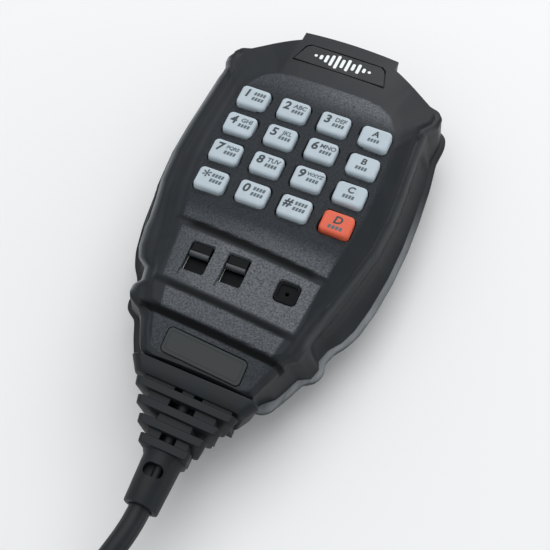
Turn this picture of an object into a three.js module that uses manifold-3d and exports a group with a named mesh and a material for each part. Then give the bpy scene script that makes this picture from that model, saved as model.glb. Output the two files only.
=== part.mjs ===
// A hand microphone with a keypad, lying on its back: two shells, sixteen sprung keys, two slide
// switches, a talk bar, up and down buttons, the parts inside, and a curly cord with its plug.
// Millimetres, +Z up, +Y towards the top edge. The body's own frame has its origin on the crown of
// the front panel, at the middle of the keypad; the exported group moves it onto the floor.
import * as THREE from 'three';
import * as BufferGeometryUtils from 'three/addons/utils/BufferGeometryUtils.js';
import Module from 'manifold-3d';

const wasm = await Module();
wasm.setup();

// ---------------------------------------------------------------- driving dimensions
const bodyWidth = 67.3;          // across the rim of the rear shell
const bodyThickness = 28;        // from the back to the crown of the front panel
const rearDepth = 13;            // the rear shell's share of the thickness
const topEdge = 39.3;            // the shoulders' highest line above the keypad's middle
const browEdge = topEdge + 3.7;  // the brow stands past the shoulders
const chinEdge = -60;            // the end wall that the cord boot leaves
const wall = 2;
const gap = 0.3;                 // between pieces that touch or are cut by each other

const keyPitchX = 11;
const keyPitchY = 8.92;
const keyWidth = keyPitchX - 3;
const keyHeight = keyPitchY - 2.62;
const keyStand = 1.2;            // how far a key stands above the panel
const keyTravel = 0.9;
const keyCorner = 1.3;
const keyRound = 0.45;           // the rounding of a key's top edge
const flangeThickness = 0.7;     // the skirt that keeps a key under the panel
const flangeSpread = 1;          // the skirt is wider than the key by this
const plungerWidth = keyWidth - 3.6;
const plungerHeight = keyHeight - 2.9;

const slideWidth = 5.8;          // the windows of the two slide switches
const slideLength = 8;
const slideX = [-11.2, -1.7];
const slideY = chinEdge + 26.4;
const knobLength = 3.4;
const knobFoot = 4.6;            // the broad foot that keeps a knob under the panel
const knobStand = 0.5;
const slideWall = 1.1;           // of the can that the knob runs in

const micX = 12.1;               // the microphone's window in the panel
const micY = chinEdge + 25.7;
const micWindow = 5.8;
const capsuleRadius = 3;
const capsuleHeight = 2.2;

const boardTop = -8.4;
const boardThickness = 1.6;
const matThickness = 1.2;

const talkTop = 23.6;            // the talk bar's cut-out in the left flank
const talkBottom = -27.4;
const talkRoof = -6.6;
const talkInner = -26.3;
const talkProud = 0.7;           // the bar stands past the flank
const talkSwing = 2.4;           // room for the bar's lower end to swing in
const talkPinRadius = 0.8;
const plungerReach = 1.2;        // of the talk switch

const cavityRoof = 2.2;          // the front panel's thickness away from the keypad
const edgeButtonX = 6.6;         // the up and down buttons in the top wall
const edgeButtonWidth = 7;
const edgeButtonHeight = 3.4;
const edgeButtonStand = 1.2;
const edgeButtonTravel = 0.7;

const bootAxis = -bodyThickness + 15; // height of the cord's axis where it leaves the body
const bootEnd = chinEdge - 31.5;
const neckRadius = 4.9;
const sleeveRadius = 4.25;
const ribPitch = 3.95;
const ribThickness = 2.3;

const hangerRadius = 6.5;
const hangerNeck = 3.6;
const hangerY = 4;
const dishRadius = 13.5;
const dishDepth = 4.6;

const screwRadius = 0.9;
const screwHeadRadius = 2.4;
const screwHeadHeight = 1.7;
const bossRadius = 3;
const screwTopY = topEdge - 14.8;
const screwChinY = chinEdge + 17;
const caseScrews = [[17.5, screwTopY], [-17.5, screwTopY], [14, screwChinY], [-14, screwChinY]];
const boardScrews = [[8, topEdge - 12.8], [-8, topEdge - 12.8]];

const badgeTopHalf = 11;         // half widths of the badge on the brow
const badgeFootHalf = 12.6;
const badgeHalfHeight = 3.4;
const chinBadgeWidth = 20.4;
const chinBadgeHeight = 6.2;

const clampWidth = 10;
const clampThickness = 3;
const leadBundleRadius = 1.7;
const connectorWidth = 11;

const cordRadius = 2.7;
const curlRadius = 8.5;          // outside of the curly stretch

const halfWidth = bodyWidth / 2;
const seam = rearDepth - bodyThickness;
const back = -bodyThickness;
const ceiling = -3.4;            // underside of the front panel over the keypad
const crownCurve = 0.0024;       // the panel falls by this times x squared

// ---------------------------------------------------------------- materials
function plastic(color, roughness = 0.55) {
  return new THREE.MeshStandardMaterial({ color, roughness, metalness: 0 });
}

const shellBlack = plastic(0x2d3137, 0.6);
const rubberBlack = plastic(0x1f2226, 0.75);
const keyGrey = plastic(0xb2bcc4, 0.45);
const keyOrange = plastic(0xe0694c, 0.45);
const badgeGrey = plastic(0x3a3d42, 0.4);
const knobBlack = plastic(0x18191b, 0.35);
const matWhite = plastic(0xc8ccce, 0.6);
const boardGreen = plastic(0x1f5a38, 0.5);
const clearPlug = plastic(0xc9d2d6, 0.15);
const steel = new THREE.MeshStandardMaterial({ color: 0xa8abae, roughness: 0.35, metalness: 1 });
const darkSteel = new THREE.MeshStandardMaterial({ color: 0x3b3d40, roughness: 0.4, metalness: 1 });

// ---------------------------------------------------------------- solids
function toSolid(geometry) {
  const bare = new THREE.BufferGeometry();
  bare.setAttribute('position', geometry.getAttribute('position'));
  bare.setIndex(geometry.getIndex());
  const merged = BufferGeometryUtils.mergeVertices(bare, 1e-4);
  return new wasm.Manifold(new wasm.Mesh({
    numProp: 3,
    vertProperties: new Float32Array(merged.getAttribute('position').array),
    triVerts: new Uint32Array(merged.getIndex().array),
  }));
}

function toGeometry(solid) {
  const mesh = solid.getMesh();
  const geometry = new THREE.BufferGeometry();
  geometry.setAttribute('position', new THREE.BufferAttribute(mesh.vertProperties, 3));
  geometry.setIndex(new THREE.BufferAttribute(mesh.triVerts, 1));
  return geometry;
}

function join(...solids) {
  return solids.reduce((whole, solid) => whole.add(solid));
}

function cut(solid, ...tools) {
  return tools.reduce((rest, tool) => rest.subtract(tool), solid);
}

function box(x0, x1, y0, y1, z0, z1) {
  const geometry = new THREE.BoxGeometry(x1 - x0, y1 - y0, z1 - z0);
  geometry.translate((x0 + x1) / 2, (y0 + y1) / 2, (z0 + z1) / 2);
  return toSolid(geometry);
}

function post(x, y, z0, z1, radius, sides = 20) {
  const geometry = new THREE.CylinderGeometry(radius, radius, z1 - z0, sides);
  geometry.rotateX(Math.PI / 2);
  geometry.translate(x, y, (z0 + z1) / 2);
  return toSolid(geometry);
}

function roundedRectangle(width, height, corner, steps = 3) {
  const shape = new THREE.Shape();
  const x = width / 2 - corner;
  const y = height / 2 - corner;
  const centres = [[x, y], [-x, y], [-x, -y], [x, -y]];
  centres.forEach(([cx, cy], quarter) => {
    for (let step = 0; step <= steps; step += 1) {
      const turn = (quarter + step / steps) * Math.PI / 2;
      const px = cx + corner * Math.cos(turn);
      const py = cy + corner * Math.sin(turn);
      if (quarter + step === 0) shape.moveTo(px, py);
      else shape.lineTo(px, py);
    }
  });
  return shape;
}

function plate(shape, z0, z1, { x = 0, y = 0, tilt = 0, height = 0 } = {}) {
  const geometry = new THREE.ExtrudeGeometry(shape, { depth: z1 - z0, steps: 1, bevelEnabled: false });
  geometry.translate(0, 0, z0);
  geometry.rotateX(tilt);
  geometry.translate(x, y, height);
  return toSolid(geometry);
}

// A plate whose top edge is rounded off all round.
function cap(shape, z0, z1, round, x, y) {
  const geometry = new THREE.ExtrudeGeometry(shape, {
    depth: z1 - z0 - 2 * round, steps: 1, bevelEnabled: true,
    bevelThickness: round, bevelSize: round, bevelOffset: -round, bevelSegments: 1,
  });
  geometry.translate(x, y, z0 + round);
  return toSolid(geometry);
}

function polygon(points) {
  return new THREE.Shape(points.map(([x, y]) => new THREE.Vector2(x, y)));
}

function mirrored(points) {
  return [...points, ...points.map(([x, y]) => [-x, y]).reverse()];
}

// A side profile, given as [y, z] points, run across the width.
function across(points, width, x = 0) {
  const geometry = new THREE.ExtrudeGeometry(polygon(points), {
    depth: width, steps: 1, bevelEnabled: false,
  });
  geometry.translate(0, 0, -width / 2);
  geometry.applyMatrix4(new THREE.Matrix4().makeBasis(
    new THREE.Vector3(0, 1, 0), new THREE.Vector3(0, 0, 1), new THREE.Vector3(1, 0, 0)));
  geometry.translate(x, 0, 0);
  return toSolid(geometry);
}

// A closed skin over rings of equal length, each a list of Vector3, turning anticlockwise seen
// from the end that the rings climb to.
function loft(rings) {
  const count = rings[0].length;
  const positions = [];
  const indices = [];
  rings.forEach((ring) => ring.forEach((p) => positions.push(p.x, p.y, p.z)));
  for (let level = 0; level < rings.length - 1; level += 1) {
    for (let i = 0; i < count; i += 1) {
      const j = (i + 1) % count;
      const a = level * count + i;
      const b = level * count + j;
      indices.push(a, b, b + count, a, b + count, a + count);
    }
  }
  const capped = [[rings[0], 0, true], [rings[rings.length - 1], (rings.length - 1) * count, false]];
  capped.forEach(([ring, first, down]) => {
    const flat = ring[0].y === ring[1].y && ring[1].y === ring[2].y
      ? ring.map((p) => new THREE.Vector2(p.z, p.x)) : ring.map((p) => new THREE.Vector2(p.x, p.y));
    THREE.ShapeUtils.triangulateShape(flat, []).forEach(([a, b, c]) => {
      if (down) indices.push(first + a, first + c, first + b);
      else indices.push(first + a, first + b, first + c);
    });
  });
  const geometry = new THREE.BufferGeometry();
  geometry.setAttribute('position', new THREE.BufferAttribute(new Float32Array(positions), 3));
  geometry.setIndex(indices);
  return toSolid(geometry);
}

// ---------------------------------------------------------------- the body's outline
// Stations down the right side, from the middle of the top edge to the middle of the chin's end.
// seamIn is how far the rim lies inside the widest point; deck is the edge where the flank meets
// the front, with its height; panel is the edge of the grained middle.
const stations = [
  { seam: [0, topEdge], deck: [0, topEdge - 0.3, -3.4], panel: [0, topEdge - 14.7] },
  { seam: [14, topEdge - 0.4], deck: [13.6, topEdge - 0.7, -3.4], panel: [9, topEdge - 14.8] },
  { seam: [halfWidth - 13.2, topEdge - 3.2], deck: [halfWidth - 13.8, topEdge - 3.6, -4.9],
    panel: [14, topEdge - 15] },
  { seam: [halfWidth - 7.4, topEdge - 6.1], deck: [halfWidth - 8.2, topEdge - 6.6, -6.2],
    panel: [17.4, topEdge - 16.7] },
  { seam: [halfWidth - 4.6, topEdge - 6.2], deck: [halfWidth - 5.6, topEdge - 6.9, -6.8],
    panel: [19, topEdge - 18.9] },
  { seam: [halfWidth - 2, topEdge - 7.9], deck: [halfWidth - 4.2, topEdge - 8.6, -6.9],
    panel: [20.2, topEdge - 20.9] },
  { seam: [halfWidth - 1.3, topEdge - 11.3], deck: [halfWidth - 4.2, topEdge - 11.5, -6.8],
    panel: [20.8, topEdge - 23.3] },
  { seam: [halfWidth - 1.8, 22.5], deck: [halfWidth - 6.4, 23.8, -6], panel: [21.4, 12] },
  { seam: [halfWidth - 0.8, 14.5], deck: [halfWidth - 6.1, 14.5, -5.7], panel: [22, 7] },
  { seam: [halfWidth - 0.15, 4], deck: [halfWidth - 5.5, 4, -5.7], panel: [22.3, 0] },
  { seam: [halfWidth, -5], deck: [halfWidth - 5.3, -5, -5.7], panel: [22.2, -8] },
  { seam: [halfWidth - 0.5, -15], deck: [halfWidth - 6.1, -14.5, -5.7], panel: [21.2, -16] },
  { seam: [halfWidth - 1.6, -24], deck: [halfWidth - 8.3, -24, -5.7], panel: [19.5, -24] },
  { seam: [halfWidth - 3.2, -31.5], deck: [halfWidth - 10.2, -32, -5.8], panel: [19, -31] },
  { seam: [halfWidth - 4.9, -35.6], deck: [halfWidth - 11.2, -36.2, -6], panel: [19, -35.5] },
  { seam: [halfWidth - 7.2, chinEdge + 21.3], deck: [halfWidth - 12, chinEdge + 20.6, -6.2],
    panel: [18.9, chinEdge + 20.5] },
  { seam: [halfWidth - 8.4, chinEdge + 17.6], deck: [halfWidth - 12.7, chinEdge + 17.2, -6.3],
    panel: [18.4, chinEdge + 17] },
  { seam: [halfWidth - 7.5, chinEdge + 15.6], deck: [halfWidth - 13, chinEdge + 15.2, -6.4],
    panel: [17.8, chinEdge + 14.5] },
  { seam: [halfWidth - 8.4, chinEdge + 12.7], deck: [halfWidth - 13.6, chinEdge + 12.6, -6.5],
    panel: [17.2, chinEdge + 12.2] },
  { seam: [halfWidth - 11.2, chinEdge + 11.2], deck: [halfWidth - 15.8, chinEdge + 10.8, -6.5],
    panel: [16.2, chinEdge + 10.4] },
  { seam: [halfWidth - 13.2, chinEdge + 6.5], deck: [halfWidth - 17.4, chinEdge + 6, -6.5],
    panel: [14.8, chinEdge + 6] },
  { seam: [halfWidth - 16, chinEdge + 1], deck: [halfWidth - 19.2, chinEdge + 1, -6.5],
    panel: [13.2, chinEdge + 1.3] },
  { seam: [halfWidth - 18, chinEdge], deck: [halfWidth - 21, chinEdge + 0.2, -6.5],
    panel: [11, chinEdge + 0.6] },
  { seam: [0, chinEdge], deck: [0, chinEdge + 0.2, -6.5], panel: [0, chinEdge + 0.6] },
];
const spineTop = topEdge - 19;
const spineBottom = chinEdge + 22;

function drawnIn([x, y], distance) {
  const spineY = THREE.MathUtils.clamp(y, spineBottom, spineTop);
  const length = Math.hypot(x, y - spineY);
  const kept = (length - distance) / length;
  return [x * kept, spineY + (y - spineY) * kept];
}

// A ring right round the body, from the left of the top edge's middle, anticlockwise from above.
// A height of null keeps each station's own.
function bodyRing(edge, height, inset = 0, drop = 0) {
  const right = stations.map((station) => {
    const [x, y] = inset === 0 ? station[edge] : drawnIn(station[edge], inset);
    const z = (height === null ? station[edge][2] : height) - drop;
    return new THREE.Vector3(x, y, z);
  });
  const left = right.slice(1, -1).map((p) => new THREE.Vector3(-p.x, p.y, p.z));
  return [...left, ...right.slice().reverse()];
}

// Height of the front's middle line from the brow to the chin, as [y, z].
const chinTop = chinEdge + 8.2;
const stepTop = chinEdge + 33.6;
const frontLine = [
  [browEdge + 5, -4.8], [browEdge, -4], [topEdge - 14.7, -0.9], [10, -0.2], [0, 0], [stepTop + 8.4, -0.25],
  [stepTop, -0.6], [stepTop - 1.2, -1.5], [chinTop + 8.6, -1.9], [chinTop + 7.4, -2.9], [chinTop + 2.4, -3.3],
  [chinTop + 1.8, -4.9], [chinTop + 0.6, -4.9], [chinTop, -3.7], [chinEdge + 0.4, -5], [chinEdge - 6, -6],
];

function frontHeight(y) {
  const index = frontLine.findIndex(([at]) => at <= y);
  const [y1, z1] = frontLine[index];
  const [y0, z0] = frontLine[index - 1];
  return THREE.MathUtils.mapLinear(y, y0, y1, z0, z1);
}

function underFront(drop) {
  const line = frontLine.map(([y, z]) => [y, z - drop]);
  return across([...line, [chinEdge - 6, back - 10], [browEdge + 5, back - 10]], 2 * bodyWidth);
}

function underCrown() {
  const points = [];
  for (let x = -36; x <= 36; x += 6) points.push([x, -crownCurve * x * x]);
  points.push([36, back - 10], [-36, back - 10]);
  const geometry = new THREE.ExtrudeGeometry(polygon(points.reverse()), {
    depth: 160, steps: 1, bevelEnabled: false,
  });
  geometry.rotateX(Math.PI / 2);
  geometry.translate(0, 80 + spineBottom, 0);
  return toSolid(geometry);
}

// ---------------------------------------------------------------- placing
const body = new THREE.Group();
const part = new THREE.Group();

function put(name, solid, material, group = body) {
  const mesh = new THREE.Mesh(toGeometry(solid), material);
  mesh.name = name;
  group.add(mesh);
  return mesh;
}

// ---------------------------------------------------------------- front shell
function browLine(x) {
  return browEdge - 1.6 * (x / 13.2) ** 2;
}

function browOutline(inset) {
  const side = 13.2 - inset;
  const right = [[side, topEdge - 5]];
  for (let step = 0; step <= 4; step += 1) {
    const x = side * (1 - step / 4);
    right.push([x, browLine(x) - inset]);
  }
  return polygon([...right, ...right.slice(0, -1).map(([x, y]) => [-x, y]).reverse()]);
}

const shellFoot = seam + gap / 2;
const rimStep = 1;               // the rear shell's rim stands this far past the front shell

function frontBlock(inset) {
  const flank = loft([
    bodyRing('seam', shellFoot, rimStep + inset), bodyRing('deck', null, inset),
    bodyRing('panel', -1.1, inset), bodyRing('panel', 2, inset),
  ]);
  return flank.add(plate(browOutline(inset), shellFoot, 2));
}

const keyRows = [
  ['key_1', 'key_2', 'key_3', 'key_a'],
  ['key_4', 'key_5', 'key_6', 'key_b'],
  ['key_7', 'key_8', 'key_9', 'key_c'],
  ['key_star', 'key_0', 'key_hash', 'key_func'],
];
const keys = keyRows.flatMap((row, r) => row.map((name, c) => ({
  name, x: (c - 1.5) * keyPitchX, y: (1.5 - r) * keyPitchY,
})));
const keyShape = roundedRectangle(keyWidth, keyHeight, keyCorner, 2);
const keyHole = roundedRectangle(keyWidth + 2 * gap, keyHeight + 2 * gap, keyCorner + gap, 2);
const slideWindow = roundedRectangle(slideWidth, slideLength, 0.6);

const badgeY = browEdge - 9.3;
const panelTop = topEdge - 14.7;
const badgeTilt = -Math.atan2(frontHeight(panelTop) - frontHeight(browEdge), browEdge - panelTop);
const chinBadgeY = chinEdge + 3.85;
const chinBadgeTilt = Math.atan2(frontHeight(chinTop) - frontHeight(chinEdge + 0.4), 7.8);
const badgeAt = { y: badgeY, tilt: badgeTilt, height: frontHeight(badgeY) };
const chinBadgeAt = { y: chinBadgeY, tilt: chinBadgeTilt, height: frontHeight(chinBadgeY) };
const badgeDepth = 1.1;
const chinBadgeDepth = 0.9;

function badgeShape(margin) {
  const low = badgeFootHalf + margin;
  const high = badgeTopHalf + margin;
  const half = badgeHalfHeight + margin;
  return polygon([
    [-low, -half], [low, -half], [low - 0.2, -half + 1], [high, half - 1], [high - 1.2, half],
    [-high + 1.2, half], [-high, half - 1], [-low + 0.2, -half + 1],
  ]);
}

function chinBadgeShape(margin) {
  return roundedRectangle(chinBadgeWidth + 2 * margin, chinBadgeHeight + 2 * margin, 1.1 + margin);
}

const frontBossTop = ceiling + 0.2;
const boardBottom = boardTop - boardThickness;
const edgeButtonDrop = (seam + frontHeight(topEdge - 3) - cavityRoof) / 2 + 0.4;
const buttonHalf = edgeButtonWidth / 2;
const buttonTall = edgeButtonHeight / 2;
const edgeButtons = [['up_button', edgeButtonX], ['down_button', -edgeButtonX]];
const talkPin = { x: -25.2, y: talkTop - 2.6 };

const frontCavity = loft([
  bodyRing('seam', seam - 1, wall + rimStep + 0.2), bodyRing('deck', null, wall + 0.2, wall - 0.1),
  bodyRing('panel', ceiling, -1.4),
]).intersect(underFront(cavityRoof));

function frontBosses() {
  const posts = caseScrews.map(([x, y]) => (
    post(x, y, shellFoot, frontBossTop - (y < 0 ? 0.8 : 0), bossRadius)));
  const stubs = boardScrews.map(([x, y]) => post(x, y, boardTop + gap, frontBossTop, 2.2, 16));
  return join(...posts, ...stubs);
}

const bootHole = new THREE.CylinderGeometry(neckRadius + gap, neckRadius + gap, 8, 24);
bootHole.translate(0, chinEdge + 1, bootAxis);

const frontShell = cut(
  frontBlock(0).intersect(underFront(0)).intersect(underCrown()).subtract(frontCavity).add(frontBosses()),
  ...keys.map(({ x, y }) => plate(keyHole, -6, 3, { x, y })),
  ...slideX.map((x) => plate(slideWindow, -6, 3, { x, y: slideY })),
  plate(roundedRectangle(micWindow, micWindow, 1.3), -6, 3, { x: micX, y: micY }),
  plate(badgeShape(gap), -badgeDepth, 4, badgeAt),
  plate(chinBadgeShape(gap), -chinBadgeDepth, 4, chinBadgeAt),
  ...caseScrews.map(([x, y]) => post(x, y, shellFoot - 1, -8.5, screwRadius + gap, 12)),
  ...boardScrews.map(([x, y]) => post(x, y, boardTop - 1, -4.9, screwRadius + gap, 12)),
  box(-bodyWidth, talkInner + talkSwing, talkBottom, talkTop, seam - 5, talkRoof),
  post(talkPin.x, talkPin.y, seam, -5, talkPinRadius + gap, 12),
  ...edgeButtons.map(([, x]) => box(
    x - buttonHalf - gap, x + buttonHalf + gap, 33, browEdge + 4,
    edgeButtonDrop - buttonTall - gap, edgeButtonDrop + buttonTall + gap)),
  toSolid(bootHole),
);
put('front_shell', frontShell, shellBlack);

// ---------------------------------------------------------------- rear shell
const rimFoot = seam - gap / 2;
const backSteps = [[rimFoot, 0], [seam - 1.3, 0.1], [seam - 6, 2.2], [back + 2.2, 5.6], [back, 9.5]];
const rearCavity = loft(
  [[rimFoot + 1, 2.3], [seam - 1.3, 2.5], [seam - 6, 4.8], [back + 3, 7.6], [back + wall, 9.4]]
    .map(([z, inset]) => bodyRing('seam', z, inset)).reverse());
const dishFloor = back + dishDepth;
const screwWell = back + screwHeadHeight + 0.8;

const rearShell = cut(
  join(
    loft(backSteps.map(([z, inset]) => bodyRing('seam', z, inset)).reverse()).subtract(rearCavity),
    post(0, hangerY, back + 1, dishFloor + wall, dishRadius + wall, 36),
    ...caseScrews.map(([x, y]) => post(x, y, back + 1, rimFoot - 0.1, bossRadius + 0.6)),
  ),
  post(0, hangerY, back - 1, dishFloor, dishRadius, 36),
  post(0, hangerY, back, dishFloor + 5, 1.4, 12),
  ...caseScrews.map(([x, y]) => post(x, y, back - 1, rimFoot + 1, screwRadius + 2 * gap, 12)),
  ...caseScrews.map(([x, y]) => post(x, y, back - 1, screwWell, screwHeadRadius + gap, 16)),
  toSolid(bootHole),
);
put('rear_shell', rearShell, shellBlack);

// ---------------------------------------------------------------- badges
put('top_badge', plate(badgeShape(0), -badgeDepth + gap, -0.25, badgeAt), badgeGrey);
put('chin_badge', plate(chinBadgeShape(0), -chinBadgeDepth + gap, -0.1, chinBadgeAt), badgeGrey);

// ---------------------------------------------------------------- keypad
const plungerFoot = boardTop + gap + keyTravel;
const flangeTop = ceiling - gap;
const flangeFloor = flangeTop - flangeThickness;
const flangeShape = roundedRectangle(keyWidth + flangeSpread, keyHeight + flangeSpread, 1, 1);
const plungerShape = roundedRectangle(plungerWidth, plungerHeight, 0.7, 1);
const plungerHole = roundedRectangle(plungerWidth + 0.8, plungerHeight + 0.8, 0.8, 1);
keys.forEach(({ name, x, y }) => {
  const top = Math.min(frontHeight(y), -crownCurve * x * x) + keyStand;
  const key = join(
    cap(keyShape, flangeFloor - 0.1, top, keyRound, x, y),
    plate(flangeShape, flangeFloor, flangeTop, { x, y }),
    plate(plungerShape, plungerFoot, flangeFloor + 0.1, { x, y }),
  );
  put(name, key, name === 'key_func' ? keyOrange : keyGrey);
});

const matFoot = boardTop + gap;
const matShape = roundedRectangle(4 * keyPitchX - 0.8, 4 * keyPitchY + 0.6, 1.5);
put('keypad_mat', cut(
  plate(matShape, matFoot, matFoot + matThickness),
  ...keys.map(({ x, y }) => plate(plungerHole, matFoot - 1, matFoot + matThickness + 1, { x, y })),
), matWhite);

const boardHalf = 2 * keyPitchX - 0.5;
const boardEdge = mirrored([
  [12.5, topEdge - 9.2], [12.5, 20.6], [boardHalf, 20.6], [boardHalf, chinEdge + 40],
  [17.5, chinEdge + 31], [17.5, chinEdge + 20.5],
]);
const board = cut(
  plate(polygon(boardEdge), boardBottom, boardTop),
  ...boardScrews.map(([x, y]) => post(x, y, boardBottom - 1, boardTop + 1, screwRadius + gap, 12)),
);
put('main_board', board, boardGreen);

// ---------------------------------------------------------------- screws, each standing head down
function screw(name, x, y, headFoot, tip, headRadius = screwHeadRadius, headHeight = screwHeadHeight) {
  const neck = headFoot + headHeight;
  const profile = [
    [0, headFoot], [headRadius, headFoot], [headRadius, neck], [screwRadius, neck],
    [screwRadius, tip - 0.8], [0, tip],
  ].map(([r, z]) => new THREE.Vector2(r, z));
  const geometry = new THREE.LatheGeometry(profile, 12);
  geometry.rotateX(Math.PI / 2);
  const slot = box(-0.35, 0.35, -headRadius, headRadius, headFoot - 1, headFoot + 0.7);
  const blade = cut(toSolid(geometry), slot);
  const mesh = put(name, blade, darkSteel);
  mesh.position.set(x, y, 0);
}

caseScrews.forEach(([x, y], index) => {
  screw(`case_screw_${index + 1}`, x, y, back + 0.5, -9.3);
});
boardScrews.forEach(([x, y], index) => {
  screw(`board_screw_${index + 1}`, x, y, boardBottom - gap - 1.2, -5.3, 2, 1.2);
});

// ---------------------------------------------------------------- slide switches
const knobTravel = slideLength - knobLength - 2 * gap;
const slideNames = ['left', 'right'];
const knobShape = roundedRectangle(slideWidth - 2 * gap, knobLength, 0.5, 2);
const knobFootShape = roundedRectangle(knobFoot, knobFoot, 0.5, 1);
const canHalfX = 3.8;
const canHalfY = 5.4;
slideX.forEach((x, index) => {
  const y = slideY + knobTravel / 2;
  const roof = frontHeight(slideY) - cavityRoof - gap;
  const knobTop = frontHeight(slideY) + knobStand;
  const knob = join(
    plate(knobShape, roof - 1.2, knobTop, { x, y }),
    plate(knobFootShape, roof - 1.8, roof - 0.7, { x, y }),
  );
  put(`slide_knob_${slideNames[index]}`, knob, knobBlack);
  const can = cut(
    box(x - canHalfX, x + canHalfX, slideY - canHalfY, slideY + canHalfY, boardTop + gap, roof - 0.2),
    box(x - canHalfX + slideWall, x + canHalfX - slideWall, slideY - canHalfY + 0.7,
      slideY + canHalfY - 0.7, roof - 2.2, roof + 2),
  );
  put(`slide_switch_${slideNames[index]}`, can, steel);
});

// ---------------------------------------------------------------- microphone
const cupTop = frontHeight(micY) - cavityRoof - gap;
const capsuleTop = cupTop - 1.3;
const soundHole = 0.6;
const micNose = roundedRectangle(micWindow - 2 * gap, micWindow - 2 * gap, 1, 2);
const micBoot = cut(
  join(
    post(micX, micY, boardTop + gap, cupTop, capsuleRadius + 1.2, 24),
    plate(micNose, cupTop - 0.5, cupTop + 2, { x: micX, y: micY }),
  ),
  post(micX, micY, boardTop - 1, capsuleTop + gap, capsuleRadius + gap, 24),
  post(micX, micY, capsuleTop, cupTop + 3, soundHole, 10),
);
put('mic_boot', micBoot, rubberBlack);
put('mic_capsule', post(micX, micY, capsuleTop - capsuleHeight, capsuleTop, capsuleRadius, 24), steel);

// ---------------------------------------------------------------- talk bar, its pin and switch
const barEar = box(talkPin.x - 2, talkPin.x + 2, talkPin.y - 2.2, talkPin.y + 2.2, -13, -9);
const talkBar = cut(
  frontBlock(-talkProud).intersect(
    box(-bodyWidth, talkInner, talkBottom + 0.5, talkTop - 0.4, seam + 0.8, talkRoof - gap)).add(barEar),
  post(talkPin.x, talkPin.y, seam, -5, talkPinRadius + gap, 12),
);
put('ptt_bar', talkBar, shellBlack);
put('ptt_pin', post(talkPin.x, talkPin.y, seam + 1, -5.4, talkPinRadius, 12), steel);
const switchTop = boardBottom - gap;
const switchHeight = 4;
const switchX = talkInner + 2.9;
const talkPlunger = new THREE.CylinderGeometry(1, 1, plungerReach, 10);
talkPlunger.rotateZ(Math.PI / 2);
talkPlunger.translate(switchX + 0.1 - plungerReach / 2, -18, switchTop - switchHeight / 2);
put('ptt_switch', join(
  box(switchX, switchX + 5.8, -21, -15, switchTop - switchHeight, switchTop),
  toSolid(talkPlunger),
), knobBlack);

// ---------------------------------------------------------------- up and down buttons
const buttonFace = browLine(edgeButtonX) + edgeButtonStand;
const buttonFlange = topEdge - wall - rimStep - 0.6;
edgeButtons.forEach(([name, x]) => {
  const button = join(
    box(x - buttonHalf, x + buttonHalf, buttonFlange - 0.4, buttonFace,
      edgeButtonDrop - buttonTall, edgeButtonDrop + buttonTall),
    box(x - buttonHalf - 0.8, x + buttonHalf + 0.8, buttonFlange - 0.8, buttonFlange,
      edgeButtonDrop - buttonTall - 0.7, edgeButtonDrop + buttonTall + 0.7),
  );
  put(name, button, rubberBlack);
  const switchFace = buttonFlange - 0.8 - edgeButtonTravel - gap;
  put(name.replace('button', 'switch'),
    box(x - 3, x + 3, switchFace - 3.4, switchFace, edgeButtonDrop - 2.6, edgeButtonDrop + 2.6), knobBlack);
});

// ---------------------------------------------------------------- cord boot, clamp and inner leads
function sectionRing(halfX, halfZ, x, y, z, sides = 20, squareness = 3) {
  return Array.from({ length: sides }, (_, i) => {
    const turn = (i / sides) * 2 * Math.PI;
    const bulge = (value) => Math.sign(value) * Math.abs(value) ** (2 / squareness);
    return new THREE.Vector3(x + halfX * bulge(Math.sin(turn)), y, z + halfZ * bulge(Math.cos(turn)));
  });
}

const ribHalves = [[13, 6.9], [10.8, 6.4], [8.6, 5.9], [6.5, 5.4]];
const firstRib = chinEdge - 5.9;
const flangeFoot = chinEdge - 4;
const lastRib = ribHalves.length - 1;
const sleeveTop = firstRib - lastRib * ribPitch - ribThickness / 2 - 1;
const sleeveShoulder = sleeveRadius + 0.3;
const bootSteps = [[bootEnd, sleeveRadius, sleeveRadius, 2], [sleeveTop, sleeveShoulder, sleeveShoulder, 2]];
ribHalves.slice().reverse().forEach(([halfX, halfZ], fromEnd) => {
  const y = firstRib - (lastRib - fromEnd) * ribPitch;
  const coreX = halfX * 0.72;
  const coreZ = halfZ * 0.78;
  bootSteps.push([y - ribThickness / 2, halfX, halfZ, 3], [y + ribThickness / 2, halfX, halfZ, 3]);
  bootSteps.push([y + ribThickness / 2, coreX, coreZ, 3]);
  if (fromEnd < lastRib) bootSteps.push([y + ribPitch - ribThickness / 2, coreX, coreZ, 3]);
});
const insideWall = chinEdge + wall + 3.2;
bootSteps.push([flangeFoot, 9.4, 5.6, 3], [flangeFoot, 14.1, 7.2, 3.4], [chinEdge - gap, 16.4, 7.9, 3.4]);
bootSteps.push([chinEdge - gap, neckRadius, neckRadius, 2], [insideWall, neckRadius, neckRadius, 2]);
bootSteps.push([insideWall, 7, 5.4, 2], [insideWall + 2, 7, 5.4, 2]);
put('cord_boot', loft(bootSteps.map(([y, halfX, halfZ, squareness]) => (
  sectionRing(halfX, halfZ, 0, y, bootAxis, 20, squareness)))), rubberBlack);

function tube(points, radius, steps, sides) {
  const route = points.map((p) => new THREE.Vector3(...p));
  const section = new THREE.Shape(Array.from({ length: sides }, (_, i) => {
    const turn = (i / sides) * 2 * Math.PI;
    return new THREE.Vector2(radius * Math.cos(turn), radius * Math.sin(turn));
  }));
  return toSolid(new THREE.ExtrudeGeometry(section, {
    extrudePath: new THREE.CatmullRomCurve3(route, false, 'centripetal'), steps, bevelEnabled: false,
  }));
}

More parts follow.
